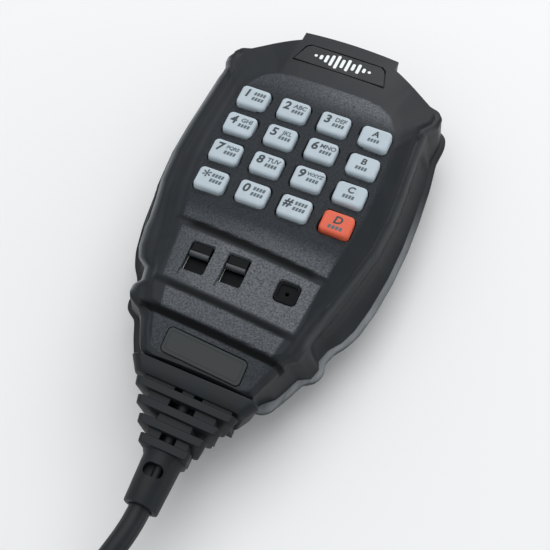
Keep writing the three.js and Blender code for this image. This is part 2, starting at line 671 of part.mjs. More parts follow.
const leadsEnd = chinEdge + 23.5;
put('wire_bundle', tube([
  [0, insideWall + 2 + gap, bootAxis], [0, chinEdge + 14, bootAxis], [0, leadsEnd, bootAxis],
], leadBundleRadius, 6, 8), rubberBlack);
const clampY = chinEdge + 9;
const clampHole = new THREE.CylinderGeometry(
  leadBundleRadius + 0.35, leadBundleRadius + 0.35, clampThickness + 5, 12);
clampHole.translate(0, clampY, bootAxis);
put('cord_clamp', cut(
  box(-clampWidth / 2, clampWidth / 2, clampY - clampThickness / 2, clampY + clampThickness / 2,
    bootAxis - 4, bootAxis + 4),
  toSolid(clampHole),
), knobBlack);
put('wire_connector', box(-connectorWidth / 2, connectorWidth / 2, leadsEnd + gap, leadsEnd + 6,
  boardBottom - 5, boardBottom - gap), matWhite);

// ---------------------------------------------------------------- hanger
const hangerProfile = [
  [1.4, dishFloor - gap], [hangerNeck, dishFloor - gap], [hangerNeck, back + 2.2],
  [hangerRadius, back + 2.2],
  [hangerRadius, back + 0.5], [hangerRadius - 0.5, back], [3, back], [3, back + 1.6], [1.4, back + 1.6],
  [1.4, dishFloor - gap],
].map(([r, z]) => new THREE.Vector2(r, z));
const hanger = new THREE.LatheGeometry(hangerProfile.reverse(), 28);
hanger.rotateX(Math.PI / 2);
hanger.translate(0, hangerY, 0);
put('hanger_button', toSolid(hanger), steel);
screw('hanger_screw', 0, hangerY, back + 0.2, dishFloor + 4.6, 2.6, 1.1);

// ---------------------------------------------------------------- onto the floor
const centreY = (buttonFace + bootEnd) / 2;
body.position.set(0, -centreY, bodyThickness);
part.add(body);

// ---------------------------------------------------------------- cord, in the frame of the whole part
// The lead leaves the boot, comes down to the curly stretch, which is doubled back on itself in
// line with the body; the tail and the plug lie on the near end of its second run.
const leadRoute = [
  [0, -67.95, 15], [-0.4, -73, 14.9], [-1.5, -78, 14.4], [-3.3, -84, 12.9], [-5.8, -90.5, 10.2],
  [-8.7, -97, 7.3], [-11.7, -103, 5.4], [-14.2, -108.5, 5.6], [-15.7, -112.6, 7.3], [-16, -115, 8.4],
  [-16, -116.5, 8.5],
];
const tailRoute = [
  [16, -136.5, 8.5], [16, -134.8, 8.4], [16.1, -130.5, 7.4], [16.3, -125, 5.9], [16.5, -119, 4.4],
  [16.6, -115, 3.6], [16.6, -112.3, 3.4],
];
const curlRun = 16;              // the two runs lie this far either side of the middle
const curlStart = -117;
const curlTurn = -224;
const curlEnd = -137;

const curlRoute = [];
for (let y = curlStart; y > curlTurn; y -= 21.4) curlRoute.push([-curlRun, y, curlRadius]);
for (let degrees = 180; degrees <= 360; degrees += 20) {
  const turn = THREE.MathUtils.degToRad(degrees);
  curlRoute.push([curlRun * Math.cos(turn), curlTurn + curlRun * Math.sin(turn), curlRadius]);
}
for (let y = curlTurn + 17.4; y <= curlEnd + 0.1; y += 17.4) curlRoute.push([curlRun, y, curlRadius]);

put('cord_lead', tube(leadRoute, cordRadius, 14, 10), rubberBlack, part);
put('cord_curl', tube(curlRoute, curlRadius, 36, 12), rubberBlack, part);
put('cord_tail', tube(tailRoute, cordRadius, 6, 10), rubberBlack, part);

// ---------------------------------------------------------------- plug: an eight-way modular one
const plugX = 16.6;
const plugHeight = 3.4;
const plugBootFoot = -112;
const plugBootTop = -100.5;
const plugTip = -78.7;
const plugHalfX = 5.85;
const plugHalfZ = 3.25;
const contactHalf = 4.2;         // half the width of the pocket for the contacts
const latchWidth = 3.4;
const plugBootSteps = [
  [plugBootFoot, 3.3, 3.1], [plugBootFoot + 2, 4.2, 3.3], [plugBootTop - 3, 5, 3.3], [plugBootTop, 5.2, 3.3],
];
put('plug_boot', loft(plugBootSteps.map(([y, halfX, halfZ]) => (
  sectionRing(halfX, halfZ, plugX, y, plugHeight, 20, 2.6)))), rubberBlack, part);
put('plug_body', cut(
  box(plugX - plugHalfX, plugX + plugHalfX, plugBootTop + gap, plugTip,
    plugHeight - plugHalfZ, plugHeight + plugHalfZ),
  box(plugX - contactHalf, plugX + contactHalf, plugTip - 4.5, plugTip + 1,
    plugHeight - plugHalfZ - 0.75, plugHeight - 2.2),
), clearPlug, part);

const latchFoot = plugHeight + plugHalfZ + gap;
const latchProfile = [
  [plugTip - 0.6, latchFoot], [plugTip - 0.6, latchFoot + 0.9], [plugTip - 6, latchFoot + 2],
  [plugTip - 6, latchFoot + 2.6], [plugTip - 15.5, latchFoot + 4.4], [plugTip - 15.5, latchFoot + 3.4],
  [plugTip - 3, latchFoot],
];
put('plug_latch', across(latchProfile, latchWidth, plugX), clearPlug, part);

export default part;
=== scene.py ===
"""The looks of a two-way-radio hand microphone lying on its back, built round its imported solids.

Shapes are worked out in millimetres in the maker's own frame, whose origin is on the crown of the
front panel at the middle of the keypad; seated() brings them onto the floor in metres.
"""
import math

import bmesh
import bpy
import numpy as np
from mathutils import Matrix, Vector
from mathutils.bvhtree import BVHTree


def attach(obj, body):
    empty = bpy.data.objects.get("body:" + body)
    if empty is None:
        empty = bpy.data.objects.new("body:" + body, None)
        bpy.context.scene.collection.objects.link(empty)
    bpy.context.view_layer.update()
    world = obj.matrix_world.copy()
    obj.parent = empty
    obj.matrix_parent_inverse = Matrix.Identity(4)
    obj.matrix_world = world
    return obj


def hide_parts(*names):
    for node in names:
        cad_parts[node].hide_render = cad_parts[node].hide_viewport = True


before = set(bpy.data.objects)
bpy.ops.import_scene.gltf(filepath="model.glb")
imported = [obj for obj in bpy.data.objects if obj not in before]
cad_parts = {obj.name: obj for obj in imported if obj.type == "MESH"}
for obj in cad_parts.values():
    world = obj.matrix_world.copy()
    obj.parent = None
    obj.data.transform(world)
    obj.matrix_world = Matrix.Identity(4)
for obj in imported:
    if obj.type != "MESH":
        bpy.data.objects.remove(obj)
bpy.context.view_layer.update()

MM = 0.001
HOUSING = "housing"
LIFT = 28.0                      # the back lies on the floor
SHIFT = 23.85                    # the middle of the footprint is the origin

# ---------------------------------------------------------------- sizes
TOP_EDGE = 39.3
BROW_EDGE = 42.5
BROW_BOW = 0.6
BROW_SIDE = 13.2
BROW_START = 38.6                # the brow stands up from the deck here
FRONT_COLUMNS = 133              # the net that the front is made on
FRONT_ROW_STEP = 0.42
CHIN_EDGE = -60.0
SEAM = -15.0
BACK = -28.0
GAP = 0.3
KEY_PITCH = (11.0, 8.92)
KEY_SIZE = (8.0, 6.3)
KEY_CORNER = 1.25
KEY_STAND = 1.16
SLIDE_X = (-11.2, -1.7)
SLIDE_Y = -33.6
SLIDE_WINDOW = (5.8, 8.0)
MIC_AT = (12.1, -34.3)
MIC_WINDOW = 5.8
BADGE_Y = 34.5
CHIN_BADGE = (20.4, 6.2)
CHIN_BADGE_Y = -56.15
TALK_SPAN = (-27.4, 23.6)
TALK_INNER = -26.3
TALK_ROOF = -6.6
BUTTON_X = 6.6
BUTTON_Z = -9.6
BOOT_AXIS = -13.0
BOOT_END = -91.5
BOOT_BORE = 5.2
SLEEVE = 4.25
HANGER_Y = 4.0
DISH = (13.5, 4.6)
CASE_SCREWS = ((17.5, 24.5), (-17.5, 24.5), (14.0, -43.0), (-14.0, -43.0))
CORD_DIAMETER = 5.4
CURL_MEAN = 5.68                 # radius of the curl's middle line

# Down the right side: the rim (x, y), the deck's edge (x, y, z) and the panel's edge (x, y).
SIDE = (
    ((0, 39.3), (0, 39.0, -3.4), (0, 24.6)),
    ((14, 38.9), (13.6, 38.6, -3.4), (9, 24.5)),
    ((20.45, 36.1), (19.85, 35.7, -4.9), (14, 24.3)),
    ((26.25, 33.2), (25.45, 32.7, -6.2), (17.4, 22.6)),
    ((29.05, 33.1), (28.05, 32.4, -6.8), (19, 20.4)),
    ((31.65, 31.4), (29.45, 30.7, -6.9), (20.2, 18.4)),
    ((32.35, 28), (29.45, 27.8, -6.8), (20.8, 16)),
    ((31.85, 22.5), (27.25, 23.8, -6), (21.4, 12)),
    ((32.85, 14.5), (27.55, 14.5, -5.7), (22, 7)),
    ((33.5, 4), (28.15, 4, -5.7), (22.3, 0)),
    ((33.65, -5), (28.35, -5, -5.7), (22.2, -8)),
    ((33.15, -15), (27.55, -14.5, -5.7), (21.2, -16)),
    ((32.05, -24), (25.35, -24, -5.7), (19.5, -24)),
    ((30.45, -31.5), (23.45, -32, -5.8), (19, -31)),
    ((28.75, -35.6), (22.45, -36.2, -6), (19, -35.5)),
    ((26.45, -38.7), (21.65, -39.4, -6.2), (18.9, -39.5)),
    ((25.25, -42.4), (20.95, -42.8, -6.3), (18.4, -43)),
    ((26.15, -44.4), (20.65, -44.8, -6.4), (17.8, -45.5)),
    ((25.25, -47.3), (20.05, -47.4, -6.5), (17.2, -47.8)),
    ((22.45, -48.8), (17.85, -49.2, -6.5), (16.2, -49.6)),
    ((20.45, -53.5), (16.25, -54, -6.5), (14.8, -54)),
    ((17.65, -59), (14.45, -59, -6.5), (13.2, -58.7)),
    ((15.65, -60), (12.65, -59.8, -6.5), (11, -59.4)),
    ((0, -60), (0, -59.8, -6.5), (0, -59.4)),
)
# Height of the front's middle line, from the brow to the chin.
FRONT_LINE = (
    (48, -4.9), (43, -4), (24.6, -0.9), (10, -0.2), (0, 0), (-18, -0.25), (-26.4, -0.6),
    (-27.6, -1.5), (-43.2, -1.9), (-44.4, -2.9), (-49.4, -3.3), (-50, -4.9), (-51.2, -4.9),
    (-51.8, -3.7), (-59.6, -5), (-66, -6),
)
CROWN_CURVE = 0.0024
# How far down the front shell's flank each ring of points lies, as a share of its height.
FLANK_STEPS = (0.02, 0.05, 0.09, 0.14, 0.2, 0.28, 0.36, 0.44, 0.5, 0.54, 0.58, 0.64, 0.72, 0.8, 0.88,
               0.94, 1.0)
# On the talk bar's side the deck's edge stands further out: (y, how far).
LEFT_REACH = (
    (-60, 0.4), (-56, 0.7), (-51, 1.2), (-48.5, 2.6), (-46, 3.4), (-44, 3.0), (-42.3, 1.4), (-38.8, 1.3),
    (-37, 3.4), (-34, 4.0), (-29, 3.6), (-26, 3.0), (-20, 2.6), (0, 2.4), (20, 2.2), (26, 1.6), (30, 0.0),
)
# Bands of y on the front: where each fades in, from and to, and where it fades out, from and to.
KEYPAD_BAND = (25.1, 24.7, -26.9, -26.5)
ZONE_BAND = (-28.6, -29.2, -43.5, -42.6)
LEDGE_BAND = (-44.3, -44.9, -49.7, -49.4)
# Bands of painted highlight on the grain.
ZONE_HIGHLIGHT = (-43.4, -42.2, -28.2, -29.2)
LEDGE_HIGHLIGHT = (-49.9, -49.6, -44.2, -44.8)
RIDGE_HIGHLIGHT = (-19.5, -25.5, -26.9, -26.6)
# Bands of painted shade.
GROOVE_DARK = (-49.6, -50.1, -51.9, -51.2)
STEP_DARK = (-26.5, -26.9, -28.9, -27.6)
DIP_DARK = (-43.1, -43.6, -44.8, -44.2)
SKEW_START = -19.0               # the features below the keypad run up towards the talk bar
SKEW_FULL = -25.5
SKEW_RISE = 0.9
SKEW_SLOPE = 0.078


def placed(name, data):
    """A new object in the scene."""
    made = bpy.data.objects.new(name, data)
    bpy.context.scene.collection.objects.link(made)
    return made


def worked_out(holder):
    """The holder's shape, with its modifiers worked out, as a plain mesh."""
    graph = bpy.context.evaluated_depsgraph_get()
    return bpy.data.meshes.new_from_object(holder.evaluated_get(graph))


# ---------------------------------------------------------------- camera, light and floor
def make_camera():
    data = bpy.data.cameras.new("camera")
    data.sensor_width = 36.0
    data.lens = 18.0 / math.tan(math.radians(28.07 / 2))
    data.clip_start = 0.01
    data.clip_end = 10.0
    camera = placed("camera", data)
    right = Vector((0.9245, 0.3811, 0.0)).normalized()
    look = Vector((-0.1771, 0.4298, -0.8854)).normalized()
    up = right.cross(look).normalized()
    right = look.cross(up).normalized()
    turned = Matrix((right, up, -look)).transposed().to_4x4()
    camera.matrix_world = Matrix.Translation((0.0538, -0.11915, 0.2568)) @ turned
    bpy.context.scene.camera = camera


def area_light(name, place, aim, size, power, colour=(1, 1, 1)):
    data = bpy.data.lights.new(name, "AREA")
    data.shape = "RECTANGLE"
    data.size, data.size_y = size
    data.energy = power
    data.color = colour
    light = placed(name, data)
    light.location = place
    light.rotation_euler = (Vector(aim) - Vector(place)).to_track_quat("-Z", "Y").to_euler()


def make_room():
    bpy.context.scene.view_settings.view_transform = "Standard"
    world = bpy.data.worlds.new("studio")
    bpy.context.scene.world = world
    world.use_nodes = True
    background = world.node_tree.nodes["Background"]
    background.inputs["Color"].default_value = (0.93, 0.97, 1.0, 1)
    background.inputs["Strength"].default_value = 0.62
    area_light("softbox_back", (0.10, 0.80, 0.62), (0, 0.0, 0.02), (0.7, 0.30), 3.0)
    area_light("softbox_above", (-0.35, 0.12, 1.25), (0, -0.05, 0), (1.3, 1.3), 6.4)
    area_light("softbox_right", (0.75, -0.10, 0.28), (0, -0.02, 0.02), (0.5, 0.18), 0.45)
    mesh = bpy.data.meshes.new("floor")
    reach = 3.0
    mesh.from_pydata([(-reach, -reach, 0), (reach, -reach, 0), (reach, reach, 0), (-reach, reach, 0)],
                     [], [(0, 1, 2, 3)])
    floor = placed("floor", mesh)
    paper = bpy.data.materials.new("paper_sweep")
    paper.use_nodes = True
    shader = paper.node_tree.nodes["Principled BSDF"]
    shader.inputs["Base Color"].default_value = (0.868, 0.864, 0.862, 1)
    shader.inputs["Roughness"].default_value = 0.9
    shader.inputs["Specular IOR Level"].default_value = 0.1
    mesh.materials.append(paper)


make_camera()
make_room()


# ---------------------------------------------------------------- making meshes
def seated(points):
    """Millimetres in the maker's frame to metres on the floor."""
    points = np.asarray(points, float).reshape(-1, 3)
    return (points + (0.0, SHIFT, LIFT)) * MM


class Build:
    """Vertices and faces of one piece as it is put together, in the maker's frame."""

    def __init__(self):
        self.points = []
        self.faces = []
        self.finish_of = []

    def add(self, points, faces, finish=0):
        first = len(self.points)
        self.points.extend(tuple(map(float, p)) for p in points)
        self.faces.extend(tuple(first + i for i in f) for f in faces)
        self.finish_of.extend([finish] * len(faces))
        return self

    def face(self, corners, finish=0):
        self.faces.append(tuple(corners))
        self.finish_of.append(finish)

    def rings(self, rings, finish=0, caps=True, loop=False):
        """Skins a list of rings, each with the same number of points."""
        count = len(rings[0])
        points = [p for ring in rings for p in ring]
        faces = []
        last = len(rings) if loop else len(rings) - 1
        for level in range(last):
            a0 = level * count
            b0 = (level + 1) % len(rings) * count
            for i in range(count):
                j = (i + 1) % count
                faces.append((a0 + i, a0 + j, b0 + j, b0 + i))
        if caps and not loop:
            faces.append(tuple(reversed(range(count))))
            faces.append(tuple(range((len(rings) - 1) * count, len(rings) * count)))
        return self.add(points, faces, finish)

    def mesh(self, name):
        mesh = bpy.data.meshes.new(name)
        mesh.from_pydata([tuple(p) for p in seated(self.points)], [], self.faces)
        mesh.polygons.foreach_set("material_index", self.finish_of)
        tool = bmesh.new()
        tool.from_mesh(mesh)
        bmesh.ops.remove_doubles(tool, verts=tool.verts, dist=1e-7)
        bmesh.ops.recalc_face_normals(tool, faces=tool.faces)
        tool.to_mesh(mesh)
        tool.free()
        return mesh


def taken_in(build, mesh, finish=0):
    """Adds a seated mesh to the work in hand."""
    points = np.array([v.co for v in mesh.vertices]) / MM - (0.0, SHIFT, LIFT)
    return build.add(points, [tuple(p.vertices) for p in mesh.polygons], finish)


def make_row_tree():
    """Geometry nodes: copies of the given shape in a row, each smaller than the last by Shrink."""
    tree = bpy.data.node_groups.new("row_of_copies", "GeometryNodeTree")
    face = tree.interface
    face.new_socket("Geometry", in_out="INPUT", socket_type="NodeSocketGeometry")
    face.new_socket("Count", in_out="INPUT", socket_type="NodeSocketInt")
    for name in ("Start", "Step", "Shrink"):
        face.new_socket(name, in_out="INPUT", socket_type="NodeSocketVector")
    face.new_socket("Material", in_out="INPUT", socket_type="NodeSocketMaterial")
    face.new_socket("Geometry", in_out="OUTPUT", socket_type="NodeSocketGeometry")
    given, made = tree.nodes.new("NodeGroupInput"), tree.nodes.new("NodeGroupOutput")

    def node(kind, inputs, **settings):
        added = tree.nodes.new(kind)
        for key, value in settings.items():
            setattr(added, key, value)
        for key, source in inputs.items():
            tree.links.new(source, added.inputs[key])
        return added

    line = node("GeometryNodeMeshLine", {
        "Count": given.outputs["Count"], "Start Location": given.outputs["Start"],
        "Offset": given.outputs["Step"]}, mode="OFFSET", count_mode="TOTAL")
    index = node("GeometryNodeInputIndex", {})
    loss = node("ShaderNodeVectorMath", {
        "Vector": given.outputs["Shrink"], "Scale": index.outputs["Index"]}, operation="SCALE")
    left = node("ShaderNodeVectorMath", {1: loss.outputs["Vector"]}, operation="SUBTRACT")
    left.inputs[0].default_value = (1, 1, 1)
    copies = node("GeometryNodeInstanceOnPoints", {
        "Points": line.outputs["Mesh"], "Instance": given.outputs["Geometry"],
        "Scale": left.outputs["Vector"]})
    real = node("GeometryNodeRealizeInstances", {"Geometry": copies.outputs["Instances"]})
    finish = node("GeometryNodeSetMaterial", {
        "Geometry": real.outputs["Geometry"], "Material": given.outputs["Material"]})
    tree.links.new(finish.outputs["Geometry"], made.inputs["Geometry"])
    return tree


ROW_TREE = make_row_tree()


def row_of(unit, count, start, step, material, shrink=(0.0, 0.0, 0.0)):
    """A row of a unit's copies, as one seated mesh; start and step are in the maker's frame."""
    mesh = bpy.data.meshes.new("unit")
    mesh.from_pydata([tuple(np.array(p) * MM) for p in unit.points], [], unit.faces)
    holder = placed("row", mesh)
    step_by = holder.modifiers.new("row", "NODES")
    step_by.node_group = ROW_TREE
    values = {"Count": count, "Start": tuple(seated(start)[0]), "Step": tuple(np.array(step, float) * MM),
              "Shrink": shrink, "Material": material}
    for item in ROW_TREE.interface.items_tree:
        if item.in_out == "INPUT" and item.name in values:
            step_by[item.identifier] = values[item.name]
    result = worked_out(holder)
    holder.modifiers.clear()
    bpy.data.objects.remove(holder)
    return result


def soften(mesh, degrees=32):
    mesh.shade_smooth()
    mesh.set_sharp_from_angle(angle=math.radians(degrees))


def piece(name, mesh, body, materials, replaces=(), degrees=32):
    soften(mesh, degrees)
    for material in materials:
        mesh.materials.append(material)
    made = placed(name, mesh)
    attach(made, body)
    if replaces:
        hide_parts(*replaces)
    return made


def cut_away(mesh, tools):
    """Takes the tool meshes out of a mesh, one after another."""
    worked = placed("worked", mesh)
    for tool in tools:
        cutter = placed("cutter", tool)
        step = worked.modifiers.new("cut", "BOOLEAN")
        step.operation = "DIFFERENCE"
        step.solver = "EXACT"
        step.object = cutter
        result = worked_out(worked)
        worked.modifiers.clear()
        worked.data = result
        bpy.data.objects.remove(cutter)
    result = worked.data
    bpy.data.objects.remove(worked)
    return result


def rounded_box(half_x, half_y, corner, steps=6, at=(0.0, 0.0)):
    """Points of a rounded rectangle, anticlockwise."""
    points = []
    x, y = half_x - corner, half_y - corner
    for quarter, (cx, cy) in enumerate(((x, y), (-x, y), (-x, -y), (x, -y))):
        for step in range(steps + 1):
            turn = (quarter + step / steps) * math.pi / 2
            points.append((at[0] + cx + corner * math.cos(turn), at[1] + cy + corner * math.sin(turn)))
    return points


def level(outline, height):
    """An outline laid at one height."""
    return [(x, y, height) for x, y in outline]


def prism(build, outline, low, high, finish=0, flare=None):
    """A straight plug through an outline; flare = (from height, how far it opens at the top)."""
    rings = [level(outline, low)]
    if flare:
        start, opening = flare
        middle = np.mean(outline, axis=0)
        wide = []
        for x, y in outline:
            out = np.array((x, y)) - middle
            length = np.linalg.norm(out)
            wide.append(tuple(middle + out * (1 + opening / length)))
        rings.append(level(outline, start))
        rings.append(level(wide, high))
    else:
        rings.append(level(outline, high))
    return build.rings(rings, finish)


def disc(radius, at=(0.0, 0.0), sides=32):
    return [(at[0] + radius * math.cos(2 * math.pi * i / sides),
             at[1] + radius * math.sin(2 * math.pi * i / sides)) for i in range(sides)]


def tilted(points, y, degrees, height):
    """Turns flat work about the x axis and sets it on the sloping front."""
    turn = math.radians(degrees)
    return [(px, y + py * math.cos(turn) - pz * math.sin(turn),
             height + py * math.sin(turn) + pz * math.cos(turn)) for px, py, pz in points]


# ---------------------------------------------------------------- finishes
class Finish:
    """A small hand for building a material's nodes."""

    def __init__(self, name):
        self.material = bpy.data.materials.new(name)
        self.material.use_nodes = True
        self.nodes = self.material.node_tree.nodes
        self.links = self.material.node_tree.links
        self.shader = self.nodes["Principled BSDF"]

    def node(self, kind, inputs=None, **settings):
        made = self.nodes.new(kind)
        for key, value in settings.items():
            setattr(made, key, value)
        for key, value in (inputs or {}).items():
            if isinstance(value, bpy.types.NodeSocket):
                self.links.new(value, made.inputs[key])
            else:
                made.inputs[key].default_value = value
        return made

    def set(self, **values):
        for key, value in values.items():
            socket = self.shader.inputs[key.replace("_", " ")]
            if isinstance(value, bpy.types.NodeSocket):
                self.links.new(value, socket)
            else:
                socket.default_value = value
        return self

    def coords(self, stretch=(1, 1, 1)):
        place = self.node("ShaderNodeTexCoord").outputs["Object"]
        return self.node("ShaderNodeMapping", {"Vector": place, "Scale": stretch}).outputs["Vector"]

    def noise(self, scale, detail=2.0, roughness=0.5, stretch=(1, 1, 1)):
        made = self.node("ShaderNodeTexNoise", {
            "Vector": self.coords(stretch), "Scale": scale, "Detail": detail, "Roughness": roughness})
        return made.outputs["Fac"]

    def fit(self, value, low, high, to_low=0.0, to_high=1.0):
        return self.node("ShaderNodeMapRange", {
            0: value, 1: low, 2: high, 3: to_low, 4: to_high}).outputs[0]

    def math(self, operation, a, b=0.0):
        return self.node("ShaderNodeMath", {0: a, 1: b}, operation=operation).outputs[0]

    def blend(self, factor, a, b):
        made = self.node("ShaderNodeMix", {"Factor": factor}, data_type="RGBA")
        for socket, value in ((made.inputs[6], a), (made.inputs[7], b)):
            if isinstance(value, bpy.types.NodeSocket):
                self.links.new(value, socket)
            else:
                socket.default_value = (*value, 1)
        return made.outputs[2]

    def bump(self, height, distance, strength=1.0, under=None):
        inputs = {"Height": height, "Distance": distance, "Strength": strength}
        if under is not None:
            inputs["Normal"] = under
        return self.node("ShaderNodeBump", inputs).outputs["Normal"]

    def attribute(self, name):
        return self.node("ShaderNodeAttribute", attribute_name=name).outputs["Fac"]


def shell_plastic():
    """Black plastic: spark-eroded grain where the piece's own grain value says, satin elsewhere.

    The lit value is a painted highlight on edges and ledges and the shade value is painted shade in grooves
    and steps; a third value paints the grain paler where it would catch the light.
    """
    f = Finish("shell_plastic")
    grain, pale = f.attribute("grain"), f.attribute("pale")
    speckle = f.noise(2300, 3.0, 0.7)
    fine = f.noise(5200, 2.0, 0.6)
    drift = f.noise(90, 3.0, 0.5)
    glint_streaks = f.noise(700, 4.0, 0.6, (1, 0.15, 1))
    satin = f.blend(f.fit(drift, 0.3, 0.7), (0.0085, 0.0105, 0.0135), (0.0135, 0.0160, 0.0195))
    dark_grain = f.blend(f.fit(speckle, 0.36, 0.64), (0.0070, 0.0090, 0.0120), (0.0270, 0.0315, 0.0380))
    # Painted highlight: a paler copy of the grain, laid where the grain would catch the light.
    pale_grain = f.blend(f.fit(speckle, 0.34, 0.64), (0.0340, 0.0380, 0.0430), (0.1500, 0.1580, 0.1700))
    colour = f.blend(grain, satin, f.blend(pale, dark_grain, pale_grain))
    # Painted highlight: streaked light grey for edges and ledges that catch the light.
    edge = f.blend(f.fit(glint_streaks, 0.3, 0.7), (0.1500, 0.1600, 0.1700), (0.2700, 0.2820, 0.2940))
    colour = f.blend(f.attribute("lit"), colour, edge)
    # Painted shade: near black in grooves, steps and dips.
    colour = f.blend(f.attribute("shade"), colour, (0.0022, 0.0026, 0.0032))
    smooth = f.fit(drift, 0.3, 0.7, 0.40, 0.48)
    rough = f.fit(speckle, 0.3, 0.7, 0.52, 0.68)
    roughness = f.node("ShaderNodeMix", {0: grain, 2: smooth, 3: rough}, data_type="FLOAT").outputs[0]
    depth = f.math("MULTIPLY", f.math("ADD", speckle, f.math("MULTIPLY", fine, 0.5)),
                   f.math("ADD", grain, 0.05))
    roughness = f.node("ShaderNodeMix", {0: f.attribute("shade"), 2: roughness, 3: 0.92},
                       data_type="FLOAT").outputs[0]
    f.set(Base_Color=colour, Roughness=roughness, Normal=f.bump(depth, 0.00006, 0.9),
          Specular_IOR_Level=0.24)
    return f.material


def plain_plastic(name, colour, roughness, grain=0.00001, size=2200, wear=0.25, level=0.45, coat=0.0):
    f = Finish(name)
    cloud = f.noise(140, 3.0, 0.55)
    speck = f.noise(size, 2.0, 0.6)
    light = tuple(min(1.0, c * (1 + wear)) for c in colour)
    dark = tuple(c * (1 - wear) for c in colour)
    f.set(Base_Color=f.blend(f.fit(cloud, 0.3, 0.7), dark, light),
          Roughness=f.fit(cloud, 0.3, 0.7, roughness * 0.88, roughness * 1.1),
          Normal=f.bump(speck, grain, 0.8), Specular_IOR_Level=level, Coat_Weight=coat)
    return f.material


def silicone(name, colour, glow):
    """Milky silicone: light goes a little way in, and the surface has a fine skin."""
    f = Finish(name)
    cloud = f.noise(220, 2.0, 0.5)
    skin = f.noise(3000, 2.0, 0.6)
    f.set(Base_Color=f.blend(f.fit(cloud, 0.3, 0.7), tuple(c * 0.96 for c in colour),
                             tuple(min(1.0, c * 1.04) for c in colour)),
          Roughness=f.fit(skin, 0.3, 0.7, 0.46, 0.56), Subsurface_Weight=0.22,
          Subsurface_Scale=0.0016, Specular_IOR_Level=0.4, Normal=f.bump(skin, 0.00001, 0.5))
    f.shader.inputs["Subsurface Radius"].default_value = glow
    return f.material


def metal(name, colour, roughness, brushed=False):
    f = Finish(name)
    stretch = (1, 14, 1) if brushed else (1, 1, 1)
    scratch = f.noise(900, 4.0, 0.6, stretch)
    f.set(Base_Color=f.blend(f.fit(scratch, 0.3, 0.7), tuple(c * 0.86 for c in colour), colour),
          Roughness=f.fit(scratch, 0.3, 0.7, roughness * 0.8, roughness * 1.25), Metallic=1.0,
          Normal=f.bump(scratch, 0.00001, 0.35))
    return f.material


def circuit_lacquer():
    f = Finish("circuit_lacquer")
    tracks = f.node("ShaderNodeTexBrick", {
        "Vector": f.coords(), "Scale": 260.0, "Mortar Size": 0.03, "Brick Width": 0.9,
        "Row Height": 0.28}).outputs["Fac"]
    f.set(Base_Color=f.blend(tracks, (0.010, 0.080, 0.030), (0.020, 0.150, 0.060)), Roughness=0.32,
          Normal=f.bump(tracks, 0.00003, 0.5), Specular_IOR_Level=0.5)
    return f.material


def cord_rubber():
    """The cord's smooth jacket, with faint draw marks and a little dust."""
    f = Finish("cord_rubber")
    cloud = f.noise(300, 3.0, 0.6)
    speck = f.noise(2600, 2.0, 0.6)
    f.set(Base_Color=f.blend(f.fit(cloud, 0.35, 0.75), (0.0065, 0.0085, 0.0105), (0.0125, 0.0150, 0.0180)),
          Roughness=f.fit(cloud, 0.3, 0.7, 0.38, 0.50), Specular_IOR_Level=0.3,
          Normal=f.bump(speck, 0.000012, 0.6))
    return f.material


SHELL = shell_plastic()
KEY_GREY = silicone("key_silicone", (0.455, 0.520, 0.565), (0.5, 0.6, 0.7))
KEY_ORANGE = silicone("key_silicone_orange", (0.700, 0.120, 0.060), (0.9, 0.3, 0.15))
INK = plain_plastic("legend_ink", (0.028, 0.045, 0.055), 0.55, wear=0.15)
SOFT_INK = plain_plastic("legend_ink_soft", (0.085, 0.112, 0.130), 0.55, wear=0.15)
MARK_WHITE = plain_plastic("mark_white", (0.82, 0.84, 0.85), 0.45, wear=0.03)
RUBBER = plain_plastic("boot_rubber", (0.0085, 0.0108, 0.0132), 0.50, 0.00002, 2400, 0.25, 0.26)
JACKET = cord_rubber()
TALK = plain_plastic("talk_bar_plastic", (0.0070, 0.0088, 0.0110), 0.55, 0.00002, 2200, 0.3, 0.08)
BADGE_SATIN = plain_plastic("badge_satin", (0.0120, 0.0138, 0.0165), 0.42, 0.000006, 1500, 0.08, 0.24)
BADGE = plain_plastic("badge_plate", (0.0300, 0.0330, 0.0350), 0.42, 0.000006, 1500, 0.08, 0.25)
GLOSS = plain_plastic("gloss_black", (0.0030, 0.0036, 0.0044), 0.50, 0.000008, 900, 0.1, 0.12)
# Painted highlight: a lighter copy of the gloss black for the slide knobs' lit lips.
GLOSS_HIGHLIGHT = plain_plastic("gloss_black_painted_highlight", (0.0450, 0.0490, 0.0540), 0.32, 0.000006, 900, 0.35, 0.5)
FOAM = plain_plastic("mic_foam", (0.0042, 0.0050, 0.0062), 0.75, 0.00004, 1800, 0.3, 0.15)
INNER_WHITE = plain_plastic("inner_white", (0.58, 0.60, 0.61), 0.5, wear=0.05)
LACQUER = circuit_lacquer()
NICKEL = metal("nickel_steel", (0.62, 0.62, 0.61), 0.30, True)
OXIDE = metal("black_oxide", (0.060, 0.062, 0.066), 0.38)
GOLD = metal("contact_gold", (0.83, 0.60, 0.25), 0.25)


def clear_plastic():
    f = Finish("clear_plug")
    haze = f.noise(500, 2.0, 0.5)
    f.set(Base_Color=f.blend(f.fit(haze, 0.3, 0.7), (0.80, 0.84, 0.86), (0.88, 0.91, 0.92)),
          Roughness=f.fit(haze, 0.3, 0.7, 0.10, 0.20), Transmission_Weight=0.75, IOR=1.58,
          Normal=f.bump(haze, 0.00001, 0.3))
    return f.material


CLEAR = clear_plastic()


